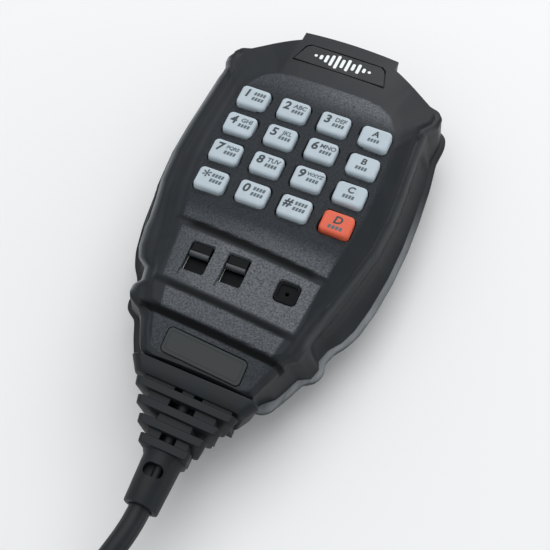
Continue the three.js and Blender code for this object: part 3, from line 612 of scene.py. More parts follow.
# ---------------------------------------------------------------- the cord
def smooth_route(points, spacing):
    """A centripetal Catmull-Rom line through the points, at an even spacing."""
    points = [np.array(p, float) for p in points]
    first = 2 * points[0] - points[1]
    last = 2 * points[-1] - points[-2]
    full = [first, *points, last]
    line = []
    for p0, p1, p2, p3 in zip(full, full[1:], full[2:], full[3:]):
        t1 = np.linalg.norm(p1 - p0) ** 0.5
        t2 = t1 + np.linalg.norm(p2 - p1) ** 0.5
        t3 = t2 + np.linalg.norm(p3 - p2) ** 0.5
        for t in np.linspace(t1, t2, 24, endpoint=False):
            a1 = (t1 - t) / t1 * p0 + t / t1 * p1
            a2 = (t2 - t) / (t2 - t1) * p1 + (t - t1) / (t2 - t1) * p2
            a3 = (t3 - t) / (t3 - t2) * p2 + (t - t2) / (t3 - t2) * p3
            b1 = (t2 - t) / t2 * a1 + t / t2 * a2
            b2 = (t3 - t) / (t3 - t1) * a2 + (t - t1) / (t3 - t1) * a3
            line.append((t2 - t) / (t2 - t1) * b1 + (t - t1) / (t2 - t1) * b2)
    line.append(points[-1])
    line = np.array(line)
    along = np.concatenate(([0], np.cumsum(np.linalg.norm(np.diff(line, axis=0), axis=1))))
    wanted = np.linspace(0, along[-1], max(3, int(along[-1] / spacing)))
    return np.stack([np.interp(wanted, along, line[:, k]) for k in range(3)], axis=1)


# The same points as the solid's routes, on the floor's frame in millimetres.
LEAD = ((0, -66.0, 15), (0, -67.95, 15), (-0.4, -73, 14.9), (-1.5, -78, 14.4), (-3.3, -84, 12.9),
        (-5.8, -90.5, 10.2), (-8.7, -97, 7.3), (-11.7, -103, 5.4), (-14.2, -108.5, 5.6),
        (-15.7, -112.6, 7.3), (-16, -115, 8.4), (-16, -116.5, 8.5))
TAIL = ((16, -136.5, 8.5), (16, -134.8, 8.4), (16.1, -130.5, 7.4), (16.3, -125, 5.9),
        (16.5, -119, 4.4), (16.6, -115, 3.6), (16.6, -112.3, 3.4), (16.6, -110.0, 3.4))
CORD_STEP = 0.7
CORD_SMOOTHING = 2
CURL_EASE = 9.0                  # the curl grows to its full width over this length at each end
CURL_PITCH = 5.46
CURL_SPREAD = 3.1                # how much further apart its turns are round the fold
CURL_RUN = 16.0
CURL_START = -117.0
CURL_TURN = -224.0
CURL_END = -137.0
CURL_HEIGHT = 8.5


def curl_axis(s):
    """The point and the sideways direction of the curl's axis, s millimetres along it."""
    down = CURL_START - CURL_TURN
    arc = math.pi * CURL_RUN
    if s < down:
        return np.array((-CURL_RUN, CURL_START - s, CURL_HEIGHT)), np.array((-1.0, 0, 0))
    if s < down + arc:
        turn = math.pi + (s - down) / CURL_RUN
        out = np.array((math.cos(turn), math.sin(turn), 0.0))
        return np.array((0, CURL_TURN, CURL_HEIGHT)) + CURL_RUN * out, out
    return np.array((CURL_RUN, CURL_TURN + s - down - arc, CURL_HEIGHT)), np.array((1.0, 0, 0))


def curl_points():
    down = CURL_START - CURL_TURN
    arc = math.pi * CURL_RUN
    length = down + arc + CURL_END - CURL_TURN
    points = []
    turn = 0.0
    step = 0.28
    for s in np.arange(0, length + step / 2, step):
        centre, side = curl_axis(s)
        bend = 1.0 if down < s < down + arc else min(1.0, max(0.0, 1 - max(down - s, s - down - arc) / 6.0))
        pitch = CURL_PITCH + CURL_SPREAD * bend
        near = min(s, length - s) / CURL_EASE
        radius = CURL_MEAN * (1 if near > 1 else near * near * (3 - 2 * near))
        points.append(centre + radius * (math.cos(turn) * side + math.sin(turn) * np.array((0, 0, 1.0))))
        turn += 2 * math.pi * step / pitch
    return points


def make_cord():
    lead = smooth_route(LEAD, 2.0)
    tail = smooth_route(TAIL, 2.0)
    points = np.concatenate((lead[:-1], np.array(curl_points()), tail[1:]))
    run = np.concatenate(([0], np.cumsum(np.linalg.norm(np.diff(points, axis=0), axis=1))))
    wanted = np.linspace(0, run[-1], int(run[-1] / CORD_STEP))
    points = np.stack([np.interp(wanted, run, points[:, k]) for k in range(3)], axis=1)
    for _ in range(CORD_SMOOTHING):
        points[1:-1] = 0.5 * points[1:-1] + 0.25 * (points[:-2] + points[2:])
    curve = bpy.data.curves.new("cord", "CURVE")
    curve.dimensions = "3D"
    curve.bevel_depth = CORD_DIAMETER / 2 * MM
    curve.bevel_resolution = 4
    curve.use_fill_caps = True
    spline = curve.splines.new("POLY")
    spline.points.add(len(points) - 1)
    flat = np.concatenate((points * MM, np.ones((len(points), 1))), axis=1)
    spline.points.foreach_set("co", flat.ravel())
    curve.materials.append(JACKET)
    cord = placed("cord", curve)
    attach(cord, HOUSING)
    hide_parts("cord_lead", "cord_curl", "cord_tail")
    length = float(np.linalg.norm(np.diff(points, axis=0), axis=1).sum())
    return cord, length * MM


cord, cord_length = make_cord()


# ---------------------------------------------------------------- the body's outline and front
def along(values, axis=1):
    """Arrays of one column of SIDE for interpolation by y, rising."""
    rows = np.array([row[values] for row in SIDE][::-1], float)
    return rows[:, axis], rows


def edge_x(which, y, inset=0.0):
    """Half width of an outline at y; which is 0 for the rim, 1 for the deck, 2 for the panel."""
    ys, rows = along(which)
    return np.maximum(np.interp(y, ys, rows[:, 0]) - inset, 0.0)


def left_reach(y):
    """How far the deck's edge stands out on the talk bar's side, with a scoop below the bar."""
    ys, reach = zip(*LEFT_REACH)
    return np.interp(y, ys, reach)


def deck_z(y):
    ys, rows = along(1)
    return np.interp(y, ys, rows[:, 2])


def fade(value, start, end):
    t = np.clip((value - start) / (end - start), 0, 1)
    return t * t * (3 - 2 * t)


def band(y, in_from, in_to, out_from, out_to):
    return fade(y, in_from, in_to) * fade(y, out_from, out_to)


def softly(a, b, blend):
    """The lower of two heights, with the crease between them rounded."""
    h = np.clip(0.5 + 0.5 * (b - a) / blend, 0, 1)
    return b * (1 - h) + a * h - blend * h * (1 - h)


def line_height(y, rounding=0.45):
    """The front's middle line with its steps rounded as a mould's are."""
    ys = np.array([p[0] for p in FRONT_LINE][::-1])
    zs = np.array([p[1] for p in FRONT_LINE][::-1])
    offsets = np.linspace(-1, 1, 7) * rounding
    weights = 1 - np.abs(offsets) / (rounding * 1.2)
    total = sum(w * np.interp(y + o, ys, zs) for w, o in zip(weights, offsets))
    return total / weights.sum()


def skewed(x, y):
    """The y to look a feature up at: those below the keypad run slightly up towards the talk bar."""
    return y - fade(y, SKEW_START, SKEW_FULL) * (SKEW_RISE - SKEW_SLOPE * x)


def make_border_map():
    """Heights of the border between the deck's edge and the panel's, on a half-millimetre net."""
    rings = []
    for grow, lift in ((1.25, 0.0), (0.0, 0.0), (-1.0, 0.0), (-1.9, 2.5)):
        ring = []
        for _, deck, panel in SIDE:
            panel_z = float(line_height(panel[1])) - CROWN_CURVE * panel[0] ** 2
            d, p = Vector(deck), Vector((panel[0], panel[1], panel_z))
            ring.append(d - (p - d) * grow + Vector((0, 0, lift)))
        rings.append(ring)
    points = [p for ring in rings for p in ring]
    count = len(SIDE)
    faces = []
    for level in range(len(rings) - 1):
        for i in range(count - 1):
            a, b = level * count + i, (level + 1) * count + i
            faces += [(a, a + 1, b + 1), (a, b + 1, b)]
    tree = BVHTree.FromPolygons(points, faces)
    heights = np.full((len(NET_Y), len(NET_X)), 9.0)
    for row, y in enumerate(NET_Y):
        for column, x in enumerate(NET_X):
            hit = tree.ray_cast(Vector((x, y, 30)), Vector((0, 0, -1)))[0]
            if hit is not None:
                heights[row, column] = hit.z
    return heights


NET_X = np.arange(0, 36.01, 0.5)
NET_Y = np.arange(-64, 48.01, 0.5)
BORDER_MAP = make_border_map()


def border_height(x, y):
    column = np.clip(np.abs(x) / 0.5, 0, len(NET_X) - 1.001)
    row = np.clip((y + 64) / 0.5, 0, len(NET_Y) - 1.001)
    c, r = column.astype(int), row.astype(int)
    u, v = column - c, row - r
    low = BORDER_MAP[r, c] * (1 - u) + BORDER_MAP[r, c + 1] * u
    high = BORDER_MAP[r + 1, c] * (1 - u) + BORDER_MAP[r + 1, c + 1] * u
    return low * (1 - v) + high * v


def base_height(x, y):
    """Height of the front before its small features: the panel, and the border falling to the deck."""
    x, y = np.broadcast_arrays(np.asarray(x, float), np.asarray(y, float))
    middle = line_height(skewed(x, y)) - CROWN_CURVE * x * x
    return softly(border_height(x, y), middle, 0.8)


def front_height(x, y):
    """The front with its grooves and the bead along the deck's edge."""
    z = base_height(x, y)
    inner = edge_x(1, y) - np.abs(x)
    on_side = np.clip((31.5 - y) / 2, 0, 1) * np.clip((y + 57) / 3, 0, 1)
    bead = np.exp(-((inner - 0.55) / 0.5) ** 2)
    groove = np.exp(-((inner - 1.75) / 0.35) ** 2)
    z = z + on_side * (0.16 * bead - 0.32 * groove)
    return z


def chin_bow(x):
    """How far the joint between chin and boot swings down on one side and bows at the ends."""
    return -0.045 * x - 0.5 * (x / 13.0) ** 2


def net_faces(rows, columns):
    """The faces of a net of points laid out row by row."""
    return [(r * columns + c, r * columns + c + 1, (r + 1) * columns + c + 1, (r + 1) * columns + c)
            for r in range(rows - 1) for c in range(columns - 1)]


def net_border(rows, columns):
    """The points right round a net, and which of them are on its two sides."""
    border = ([r * columns + columns - 1 for r in range(rows)]
              + [(rows - 1) * columns + c for c in range(columns - 2, 0, -1)]
              + [r * columns for r in range(rows - 1, -1, -1)] + list(range(1, columns - 1)))
    return border, np.array([b % columns in (0, columns - 1) for b in border])


def make_front_shell():
    build = Build()
    low_y, high_y = CHIN_EDGE + 0.2, BROW_EDGE
    rows = set(np.round(np.arange(low_y, high_y, FRONT_ROW_STEP), 3)) | {low_y, high_y}
    deck_points = [(s[1][0], s[1][1]) for s in SIDE]
    for (x0, y0), (x1, y1) in zip(deck_points, deck_points[1:]):
        if abs(x1 - x0) > 1.2 * abs(y1 - y0) and abs(y1 - y0) > 0.01 and x0 > 13:
            for k in range(int(abs(x1 - x0) / 0.5)):
                rows.add(round(y0 + (y1 - y0) * k / int(abs(x1 - x0) / 0.5), 3))
    rows = np.array(sorted(rows))
    u = np.linspace(-1, 1, FRONT_COLUMNS)
    width = edge_x(1, rows)
    brow = rows > BROW_START
    width[brow] = BROW_SIDE
    narrow = np.exp(-((rows - low_y) / 0.9)) * 0.8
    width = width - np.where(rows < low_y + 4, narrow, 0)
    outer_share = np.clip((np.abs(u) - 0.86) / 0.14, 0, 1) ** 1.5 * (u < 0)
    crown = BROW_EDGE - BROW_BOW * u ** 2
    grid_x = width[:, None] * u[None, :]
    grid_y = np.repeat(rows[:, None], len(u), 1)
    lift = np.clip((rows - BROW_START) / (BROW_EDGE - BROW_START), 0, 1)[:, None]
    grid_y = grid_y - lift * (BROW_EDGE - crown)[None, :]
    grid_z = front_height(grid_x, grid_y)
    grid_x = grid_x - left_reach(rows)[:, None] * outer_share[None, :]
    low_end = np.clip((-56.5 - rows) / 3.5, 0, 1)[:, None]
    grid_y = grid_y + low_end * chin_bow(grid_x)
    height, count = len(rows), len(u)
    top = np.stack((grid_x, grid_y, grid_z), axis=2).reshape(-1, 3)
    build.add(top, net_faces(height, count))
    border, is_side = net_border(height, count)
    edge = top[border]
    ring_y = edge[:, 1]
    side = np.sign(edge[:, 0])
    foot = edge.copy()
    rim = edge_x(0, ring_y, 1.6)
    reach = np.clip((ring_y + 58.5) / 3, 0, 1) * np.clip((39.0 - ring_y) / 2, 0, 1)
    across = np.abs(edge[:, 0])
    spread = reach * np.maximum(rim, across) + (1 - reach) * across
    foot[:, 0] = np.where(is_side, side * spread, edge[:, 0])
    chin = ring_y < CHIN_EDGE + 1.0
    foot[:, 1] = np.where(chin, np.minimum(ring_y, CHIN_EDGE + 1.0), ring_y)
    foot[:, 2] = SEAM + GAP / 2
    # outward direction of each flank point, in plan
    ahead = np.roll(edge[:, :2], -1, axis=0) - np.roll(edge[:, :2], 1, axis=0)
    out = np.stack((ahead[:, 1], -ahead[:, 0]), axis=1)
    out /= np.maximum(np.linalg.norm(out, axis=1), 1e-6)[:, None]
    channel = (np.clip((20.5 - ring_y) / 2.5, 0, 1) * np.clip((ring_y + 43.5) / 2.5, 0, 1)) * is_side
    channel = channel * channel * (3 - 2 * channel)
    rings = [edge]
    for t in FLANK_STEPS:
        drop = t + 0.05 * math.sin(math.pi * t)
        ring = edge + (foot - edge) * min(1, t)
        ring[:, 2] = edge[:, 2] + (foot[:, 2] - edge[:, 2]) * min(1.0, drop if t < 1 else 1.0)
        lip = 0.12 * math.exp(-((t - 0.06) / 0.05) ** 2)
        hollow = 0.95 * math.sin(math.pi * min(1, max(0, (t - 0.14) / 0.86))) ** 0.8 if t > 0.14 else 0.0
        streak = 0.10 * math.exp(-((t - 0.54) / 0.035) ** 2)
        shift = lip - channel * (hollow - streak)
        ring[:, 0] += out[:, 0] * shift
        ring[:, 1] += out[:, 1] * shift * np.where(is_side, 1, 0)
        rings.append(ring)
    base = len(build.points)
    n = len(edge)
    build.points.extend(tuple(map(float, p)) for ring in rings[1:] for p in ring)
    levels = [border] + [[base + k * n + i for i in range(n)] for k in range(len(rings) - 1)]
    for upper, lower in zip(levels, levels[1:]):
        for i in range(n):
            j = (i + 1) % n
            build.face((upper[i], lower[i], lower[j], upper[j]))
    build.face(levels[-1])
    return build.mesh("front_shell_block")


def hollow_tool():
    """The space inside the front shell."""
    build = Build()
    rows = np.linspace(CHIN_EDGE + 3.2, TOP_EDGE - 2.6, 56)
    u = np.linspace(-1, 1, 29)
    width = np.minimum(edge_x(1, rows) - 2.2, 25.2)
    x = width[:, None] * u[None, :]
    y = np.repeat(rows[:, None], len(u), 1)
    z = np.minimum(base_height(x, y) - 2.2, -3.4)
    z = np.minimum(z, (deck_z(rows) - 1.9)[:, None] + 2.2 * (1 - np.abs(u[None, :]) ** 4))
    top = np.stack((x, y, z), axis=2).reshape(-1, 3)
    count, height = len(u), len(rows)
    border, at_side = net_border(height, count)
    foot = top[border].copy()
    wide = np.maximum(edge_x(0, foot[:, 1], 3.2), np.abs(foot[:, 0]))
    foot[:, 0] = np.where(at_side, np.sign(foot[:, 0]) * wide, foot[:, 0])
    foot[:, 2] = SEAM - 1
    build.add(top, net_faces(height, count))
    first = len(build.points)
    build.points.extend(tuple(map(float, p)) for p in foot)
    n = len(foot)
    for i in range(n):
        j = (i + 1) % n
        build.face((border[i], first + i, first + j, border[j]))
    build.face(range(first, first + n))
    return build.mesh("hollow_tool")


KEY_NAMES = ("1", "2", "3", "a", "4", "5", "6", "b", "7", "8", "9", "c", "star", "0", "hash", "func")
KEY_PLACES = [((i % 4 - 1.5) * KEY_PITCH[0], (1.5 - i // 4) * KEY_PITCH[1]) for i in range(16)]


def badge_outline(margin):
    low, high, half = 12.6 + margin, 11.0 + margin, 3.4 + margin
    return [(-low, -half), (low, -half), (low - 0.2, 1 - half), (high, half - 1), (high - 1.2, half),
            (1.2 - high, half), (-high, half - 1), (0.2 - low, 1 - half)]


def slope_at(y0, y1):
    return math.degrees(math.atan2(line_height(y1) - line_height(y0), y1 - y0))


BADGE_TILT = slope_at(24.6, 43.0)
CHIN_TILT = slope_at(-59.4, -52.2)


def on_chin(points):
    """Lays the chin plate's points on the chin, following its slight skew."""
    turned = [(x, y - SKEW_SLOPE * x, z) for x, y, z in points]
    return tilted(turned, CHIN_BADGE_Y + 0.6, CHIN_TILT, float(line_height(CHIN_BADGE_Y)))


def window_tool():
    build = Build()
    for x, y in KEY_PLACES:
        top = float(base_height(x, y))
        hole = rounded_box(KEY_SIZE[0] / 2 + GAP, KEY_SIZE[1] / 2 + GAP, KEY_CORNER + GAP, 5, (x, y))
        prism(build, hole, -6, top + 0.3, flare=(top - 0.2, 0.35))
    for x in SLIDE_X:
        top = float(base_height(x, SLIDE_Y))
        window = rounded_box(SLIDE_WINDOW[0] / 2, SLIDE_WINDOW[1] / 2, 0.6, 4, (x, SLIDE_Y))
        prism(build, window, -6, top + 1.2, flare=(top - 0.3, 0.9))
    top = float(base_height(*MIC_AT))
    prism(build, rounded_box(MIC_WINDOW / 2, MIC_WINDOW / 2, 1.3, 6, MIC_AT), -6, top + 1.2,
          flare=(top - 0.35, 0.9))
    badge = Build()
    prism(badge, badge_outline(GAP), -1.1, 4)
    build.add(tilted(badge.points, BADGE_Y, BADGE_TILT, float(line_height(BADGE_Y))), badge.faces)
    plate = Build()
    prism(plate, rounded_box(CHIN_BADGE[0] / 2 + GAP, CHIN_BADGE[1] / 2 + GAP, 1.4, 6), -0.9, 4)
    build.add(on_chin(plate.points), plate.faces)
    block(build, -70, TALK_INNER + 2.4, TALK_SPAN[0], TALK_SPAN[1], SEAM - 5, TALK_ROOF + 0.05)
    for x in (BUTTON_X, -BUTTON_X):
        block(build, x - 3.8, x + 3.8, 33, 48, BUTTON_Z - 2, BUTTON_Z + 2)
    rod(build, (0, CHIN_EDGE - 3, BOOT_AXIS), (0, CHIN_EDGE + 5, BOOT_AXIS), BOOT_BORE, 36)
    return build.mesh("window_tool")


def mark_tool():
    build = Build()
    for x in SLIDE_X:
        top = float(base_height(x, SLIDE_Y))
        mark = rounded_box(0.24, 0.95, 0.2, 3, (x - SLIDE_WINDOW[0] / 2 + 0.05, SLIDE_Y - 4.0 - 0.75))
        prism(build, mark, top - 0.6, top + 1)
    return build.mesh("mark_tool")


def block(build, x0, x1, y0, y1, z0, z1, finish=0):
    build.rings([[(x0, y0, z0), (x1, y0, z0), (x1, y1, z0), (x0, y1, z0)],
                 [(x0, y0, z1), (x1, y0, z1), (x1, y1, z1), (x0, y1, z1)]], finish)


def rod(build, start, end, radius, sides=16, finish=0):
    """A straight rod between two points."""
    start, end = Vector(start), Vector(end)
    turn = (end - start).to_track_quat("Z", "Y")
    rings = []
    for centre in (start, end):
        rings.append([tuple(centre + turn @ Vector((radius * math.cos(2 * math.pi * i / sides),
                                                    radius * math.sin(2 * math.pi * i / sides), 0)))
                      for i in range(sides)])
    build.rings(rings, finish)


def paint_values(mesh, **values):
    """Writes a value at each vertex, worked out from its place in the maker's frame."""
    places = np.zeros(len(mesh.vertices) * 3)
    mesh.vertices.foreach_get("co", places)
    places = places.reshape(-1, 3) / MM - (0.0, SHIFT, LIFT)
    for name, rule in values.items():
        layer = mesh.attributes.new(name, "FLOAT", "POINT")
        layer.data.foreach_set("value", np.asarray(rule(*places.T), np.float32))


def grain_rule(x, y, z):
    """The grained fields of the front; the border between them and the deck's edge is satin."""
    face = fade(z - base_height(x, y), -0.9, -0.5)
    y = skewed(x, y)
    keypad = fade(edge_x(2, np.minimum(y, 24.4)) - np.abs(x), -0.3, 0.4) * band(y, *KEYPAD_BAND)
    zone_edge = 18.4 + (y + 31) * 0.09
    zone = fade(zone_edge - np.abs(x), -0.2, 0.3) * band(y, *ZONE_BAND)
    ledge = fade(15.2 + (y + 47) * 0.2 - np.abs(x), -0.2, 0.3) * band(y, *LEDGE_BAND)
    chin = fade(edge_x(1, y) - np.abs(x), 1.2, 1.7) * fade(y, -51.4, -51.7)
    return face * np.clip(keypad + zone + ledge + chin, 0, 1)


def pale_rule(x, y, z):
    """Painted highlight: how much paler each field's grain is painted where it catches the light."""
    y = skewed(x, y)
    across = 0.45 + 0.55 * fade(x, -19, -4)
    switch_zone = band(y, *ZONE_HIGHLIGHT) * across
    ledge = band(y, *LEDGE_HIGHLIGHT) * 0.72
    ridge = band(y, *RIDGE_HIGHLIGHT) * (0.30 + 0.45 * fade(x, -16, 8))
    top_band = fade(y, 15.8, 23.0) * (0.35 + 0.65 * fade(x, -14, 12))
    chin = fade(y, -51.4, -52.2) * (0.22 - 0.12 * fade(x, -2, 8))
    return np.clip(switch_zone + ledge + ridge + top_band + chin, 0, 1)


def lit_rule(x, y, z):
    """Painted highlights: bright lines on the bead round the talk bar's recess and the top of the ear."""
    inner = edge_x(1, y) + np.where(x < 0, left_reach(y), 0) - np.abs(x)
    above = fade(z - deck_z(y), -0.5, -0.1)
    bead = np.exp(-((inner - 0.1) / 0.6) ** 2) * above
    left = fade(x, -5, -10) * fade(y, -47, -45) * fade(y, 28.5, 27)
    right = fade(x, 5, 10) * fade(y, -46, -43) * fade(y, 29, 26) * 0.14
    return np.clip(bead * (left + right), 0, 1)


def shade_rule(x, y, z):
    """Painted shade: grooves, steps and a dip, darkened in colour where shade falls."""
    face = fade(z - base_height(x, y), -1.6, -1.0)
    y = skewed(x, y)
    groove = band(y, *GROOVE_DARK) * fade(20.5 - np.abs(x), 0, 1)
    step = band(y, *STEP_DARK) * fade(18.2 - np.abs(x), 0.0, 3.0) * 0.85
    dip = band(y, *DIP_DARK) * fade(17.0 - np.abs(x), 0.0, 3.0) * 0.55
    return face * np.clip(groove + step + dip, 0, 1)


block_mesh = make_front_shell()
shell_mesh = cut_away(block_mesh, [hollow_tool(), window_tool(), mark_tool()])
paint_values(shell_mesh, grain=grain_rule, pale=pale_rule, lit=lit_rule, shade=shade_rule)
piece("front_shell_skin", shell_mesh, HOUSING, [SHELL], ["front_shell"], 30)


# ---------------------------------------------------------------- rear shell
def outline_ring(inset, height):
    """The rim's outline drawn in, as a ring right round the body."""
    right = np.array([row[0] for row in SIDE], float)
    left = right[1:-1][::-1] * (-1, 1)
    ring = np.concatenate((left, right))
    closed = np.concatenate((ring, ring[:1]))
    fine = []
    for (x0, y0), (x1, y1) in zip(closed, closed[1:]):
        parts = max(1, int(math.hypot(x1 - x0, y1 - y0) / 0.7))
        for k in range(parts):
            fine.append((x0 + (x1 - x0) * k / parts, y0 + (y1 - y0) * k / parts))
    fine = np.array(fine)
    for _ in range(3):
        fine = 0.5 * fine + 0.25 * (np.roll(fine, 1, axis=0) + np.roll(fine, -1, axis=0))
    spine = np.clip(fine[:, 1], CHIN_EDGE + 22, TOP_EDGE - 19)
    reach = np.hypot(fine[:, 0], fine[:, 1] - spine)
    kept = (reach - inset) / reach
    x = fine[:, 0] * kept
    y = spine + (fine[:, 1] - spine) * kept
    return level(zip(x, y), height)


def make_rear_shell():
    foot = SEAM - GAP / 2
    outer = ((foot, 2.2), (foot, 1.5), (foot - 0.12, 0.55), (foot - 0.35, 0.12), (foot - 0.7, 0.02),
             (SEAM - 1.6, 0.1), (SEAM - 3.5, 0.75), (SEAM - 6, 1.9), (SEAM - 8.6, 3.6),
             (BACK + 2.4, 5.4), (BACK + 1.0, 7.0), (BACK + 0.3, 8.4), (BACK, 9.9), (BACK, 12.5))
    shell = Build().rings([outline_ring(inset, z) for z, inset in reversed(outer)])
    inner = Build().rings([outline_ring(inset, z) for z, inset in reversed(
        ((foot + 1, 2.9), (SEAM - 1.3, 2.9), (SEAM - 6, 4.8), (BACK + 3, 7.6), (BACK + 2, 9.4)))])
    block_of_wells = Build()
    profile = ((0.0, DISH[1]), (DISH[0] - 0.8, DISH[1]), (DISH[0] - 0.2, DISH[1] - 0.6),
               (DISH[0], 0.5), (DISH[0] + 0.45, -0.05), (DISH[0] + 0.45, -1.0))
    block_of_wells.rings([level(disc(max(r, 0.01), (0, HANGER_Y), 64), BACK + z)
                          for r, z in reversed(profile[1:])])
    for x, y in CASE_SCREWS:
        block_of_wells.rings([level(disc(r, (x, y), 28), BACK + z)
                              for r, z in ((3.1, -1), (3.1, -0.05), (2.7, 0.35), (2.7, 2.5))])
    rod(block_of_wells, (0, CHIN_EDGE - 3, BOOT_AXIS), (0, CHIN_EDGE + 4, BOOT_AXIS), BOOT_BORE, 36)
    posts = Build()
    posts.rings([level(disc(15.5, (0, HANGER_Y), 48), z) for z in (BACK + 0.5, BACK + 6.6)])
    for x, y in CASE_SCREWS:
        posts.rings([level(disc(3.6, (x, y), 24), z) for z in (BACK + 0.5, foot - 0.1)])
    hollow = cut_away(inner.mesh("rear_hollow"), [posts.mesh("rear_posts")])
    return cut_away(shell.mesh("rear_block"), [hollow, block_of_wells.mesh("rear_wells")])


def rear_grain(x, y, z):
    return fade(z, SEAM - 1.4, SEAM - 2.2) * 0.7


def rear_lit(x, y, z):
    """The rim stands past the front shell as a ledge with a painted highlight, fading out towards the upper
    left.
    """
    return fade(z, SEAM - 0.75, SEAM - 0.35) * fade(y, 14, -12) * fade(x, -12, 4) * 0.9


def nowhere(x, y, z):
    return x * 0.0


rear_mesh = make_rear_shell()
paint_values(rear_mesh, grain=rear_grain, pale=nowhere, lit=rear_lit, shade=nowhere)
piece("rear_shell_skin", rear_mesh, HOUSING, [SHELL], ["rear_shell"], 30)


# ---------------------------------------------------------------- lettering
def letters(build, words, place, size, height, finish, slant=0.18, weight=0.0, thick=0.03):
    """Sets plain lettering flat on a top face, in the maker's frame."""
    curve = bpy.data.curves.new("letters", "FONT")
    curve.body = words
    curve.align_x = "CENTER"
    curve.align_y = "CENTER"
    curve.size = size
    curve.shear = slant
    curve.offset = weight
    curve.extrude = thick / 2
    curve.resolution_u = 3
    holder = placed("letters", curve)
    bpy.context.view_layer.update()
    mesh = worked_out(holder)
    points = [(v.co.x + place[0], v.co.y + place[1], v.co.z + height + thick / 2) for v in mesh.vertices]
    build.add(points, [tuple(p.vertices) for p in mesh.polygons], finish)
    bpy.data.objects.remove(holder)
    bpy.data.meshes.remove(mesh)


# ---------------------------------------------------------------- keys
PHONE_LETTERS = {"2": "ABC", "3": "DEF", "4": "GHI", "5": "JKL", "6": "MNO", "7": "PQRS", "8": "TUV",
                 "9": "WXYZ", "0": "", "1": "", "star": "", "hash": ""}
KEY_FACE = {"star": "*", "hash": "#", "a": "A", "b": "B", "c": "C", "func": "D"}


def tick_row(build, place, half, count, height):
    """A second line of legend: a row of short plain blocks."""
    step = 2 * half / count
    tick = Build()
    prism(tick, [(px + py * 0.16, py) for px, py in rounded_box(step * 0.38, 0.52, 0.14, 2)], 0.0, 0.02)
    row = row_of(tick, count, (place[0] - half + step / 2, place[1], height), (step, 0, 0), SOFT_INK)
    taken_in(build, row, 2)


def make_key(name, x, y):
    top = min(float(line_height(y)), -CROWN_CURVE * x * x) + KEY_STAND
    build = Build()
    half_x, half_y = KEY_SIZE[0] / 2, KEY_SIZE[1] / 2
    radius = 0.75
    levels = [(-7.2, 1.75 - half_x, 1.45 - half_y, 0.6), (-4.4, 1.75 - half_x, 1.45 - half_y, 0.6)]
    rings = [rounded_box(half_x + dx, half_y + dy, corner, 6, (x, y)) for _, dx, dy, corner in levels]
    stack = [level(ring, z) for ring, (z, *_) in zip(rings, levels)]
    for z in (-4.4, -3.72):
        stack.append(level(rounded_box(half_x + 0.5, half_y + 0.5, 1.0, 6, (x, y)), z))
    for z, inset in ((-3.72, -0.02), (-1.5, 0.0), (top - radius, 0.10)):
        ring = rounded_box(half_x - inset, half_y - inset, KEY_CORNER, 6, (x, y))
        stack.append(level(ring, z))
    for step in range(1, 7):
        turn = step / 6 * math.pi / 2
        inset = 0.10 + radius * (1 - math.cos(turn))
        z = top - radius + radius * math.sin(turn)
        corner = max(KEY_CORNER - inset * 0.5, 0.5)
        stack.append(level(rounded_box(half_x - inset, half_y - inset, corner, 6, (x, y)), z))
    for shrink in (0.6, 0.25):
        last = np.array(stack[-1])
        middle = np.array((x, y, top))
        stack.append([tuple(middle + (p - middle) * shrink) for p in last])
    build.rings(stack)
    face = KEY_FACE.get(name, name)
    if name in ("a", "b", "c"):
        letters(build, face, (x - 0.1, y + 0.95), 2.5, top, 1, 0.16, 0.07)
        tick_row(build, (x - 0.1, y - 1.05), 1.55, 4, top)
    elif name == "func":
        letters(build, face, (x, y + 0.6), 3.0, top, 1, 0.16, 0.09)
        tick_row(build, (x, y - 1.5), 1.9, 4, top)
    else:
        weight = 0.03 if name == "star" else 0.10
        drop, size = (0.1, 5.0) if name == "star" else (0.6, 3.4)
        letters(build, face, (x - 2.05, y + drop), size, top, 1, 0.16, weight)
        if PHONE_LETTERS.get(name):
            size = 1.75 if len(PHONE_LETTERS[name]) < 4 else 1.38
            letters(build, PHONE_LETTERS[name], (x + 1.35, y + 1.1), size, top, 2, 0.14, 0.05)
        else:
            tick_row(build, (x + 1.3, y + 1.1), 1.6, 4, top)
        tick_row(build, (x + 1.2, y - 0.5), 1.6, 4, top)
    silk = KEY_ORANGE if name == "func" else KEY_GREY
    return piece(f"keycap_{name}", build.mesh(f"keycap_{name}"), f"key_{name}", [silk, INK, SOFT_INK],
                 [f"key_{name}"], 40)


for name, (x, y) in zip(KEY_NAMES, KEY_PLACES):
    make_key(name, x, y)


# ---------------------------------------------------------------- badges
def make_top_badge():
    build = Build()
    outline = badge_outline(-0.02)
    inner = badge_outline(-0.5)
    rings = [level(outline, -0.8), level(outline, -0.42),
             [(x * 0.992, y * 0.97, -0.27) for x, y in outline], level(inner, -0.25)]
    build.rings(rings)
    bars = (0.9, 1.7, 2.9, 4.2, 5.2, 3.4, 4.6, 2.6, 3.7, 1.7, 0.9)
    for i, tall in enumerate(bars):
        bar_x = (i - 5) * 1.5
        prism(build, rounded_box(0.42, tall / 2, 0.4, 4, (bar_x, 0)), -0.27, -0.17, 1)
    points = tilted(build.points, BADGE_Y, BADGE_TILT, float(line_height(BADGE_Y)))
    placed = Build().add(points, build.faces)
    placed.finish_of = build.finish_of
    return placed.mesh("top_badge_plate")


piece("top_badge_plate", make_top_badge(), HOUSING, [BADGE_SATIN, MARK_WHITE], ["top_badge"])


def make_chin_badge():
    build = Build()
    half_x, half_y = CHIN_BADGE[0] / 2, CHIN_BADGE[1] / 2
    stack = [(-0.6, 0.0), (-0.22, 0.0), (-0.12, 0.06), (-0.1, 0.2), (-0.1, 0.62), (-0.16, 0.68),
             (-0.16, 0.84), (-0.1, 0.9), (-0.1, 1.6)]
    build.rings([level(rounded_box(half_x - i, half_y - i, max(1.1 - i * 0.5, 0.3), 6), z)
                 for z, i in stack])
    return Build().add(on_chin(build.points), build.faces).mesh("chin_badge_plate")


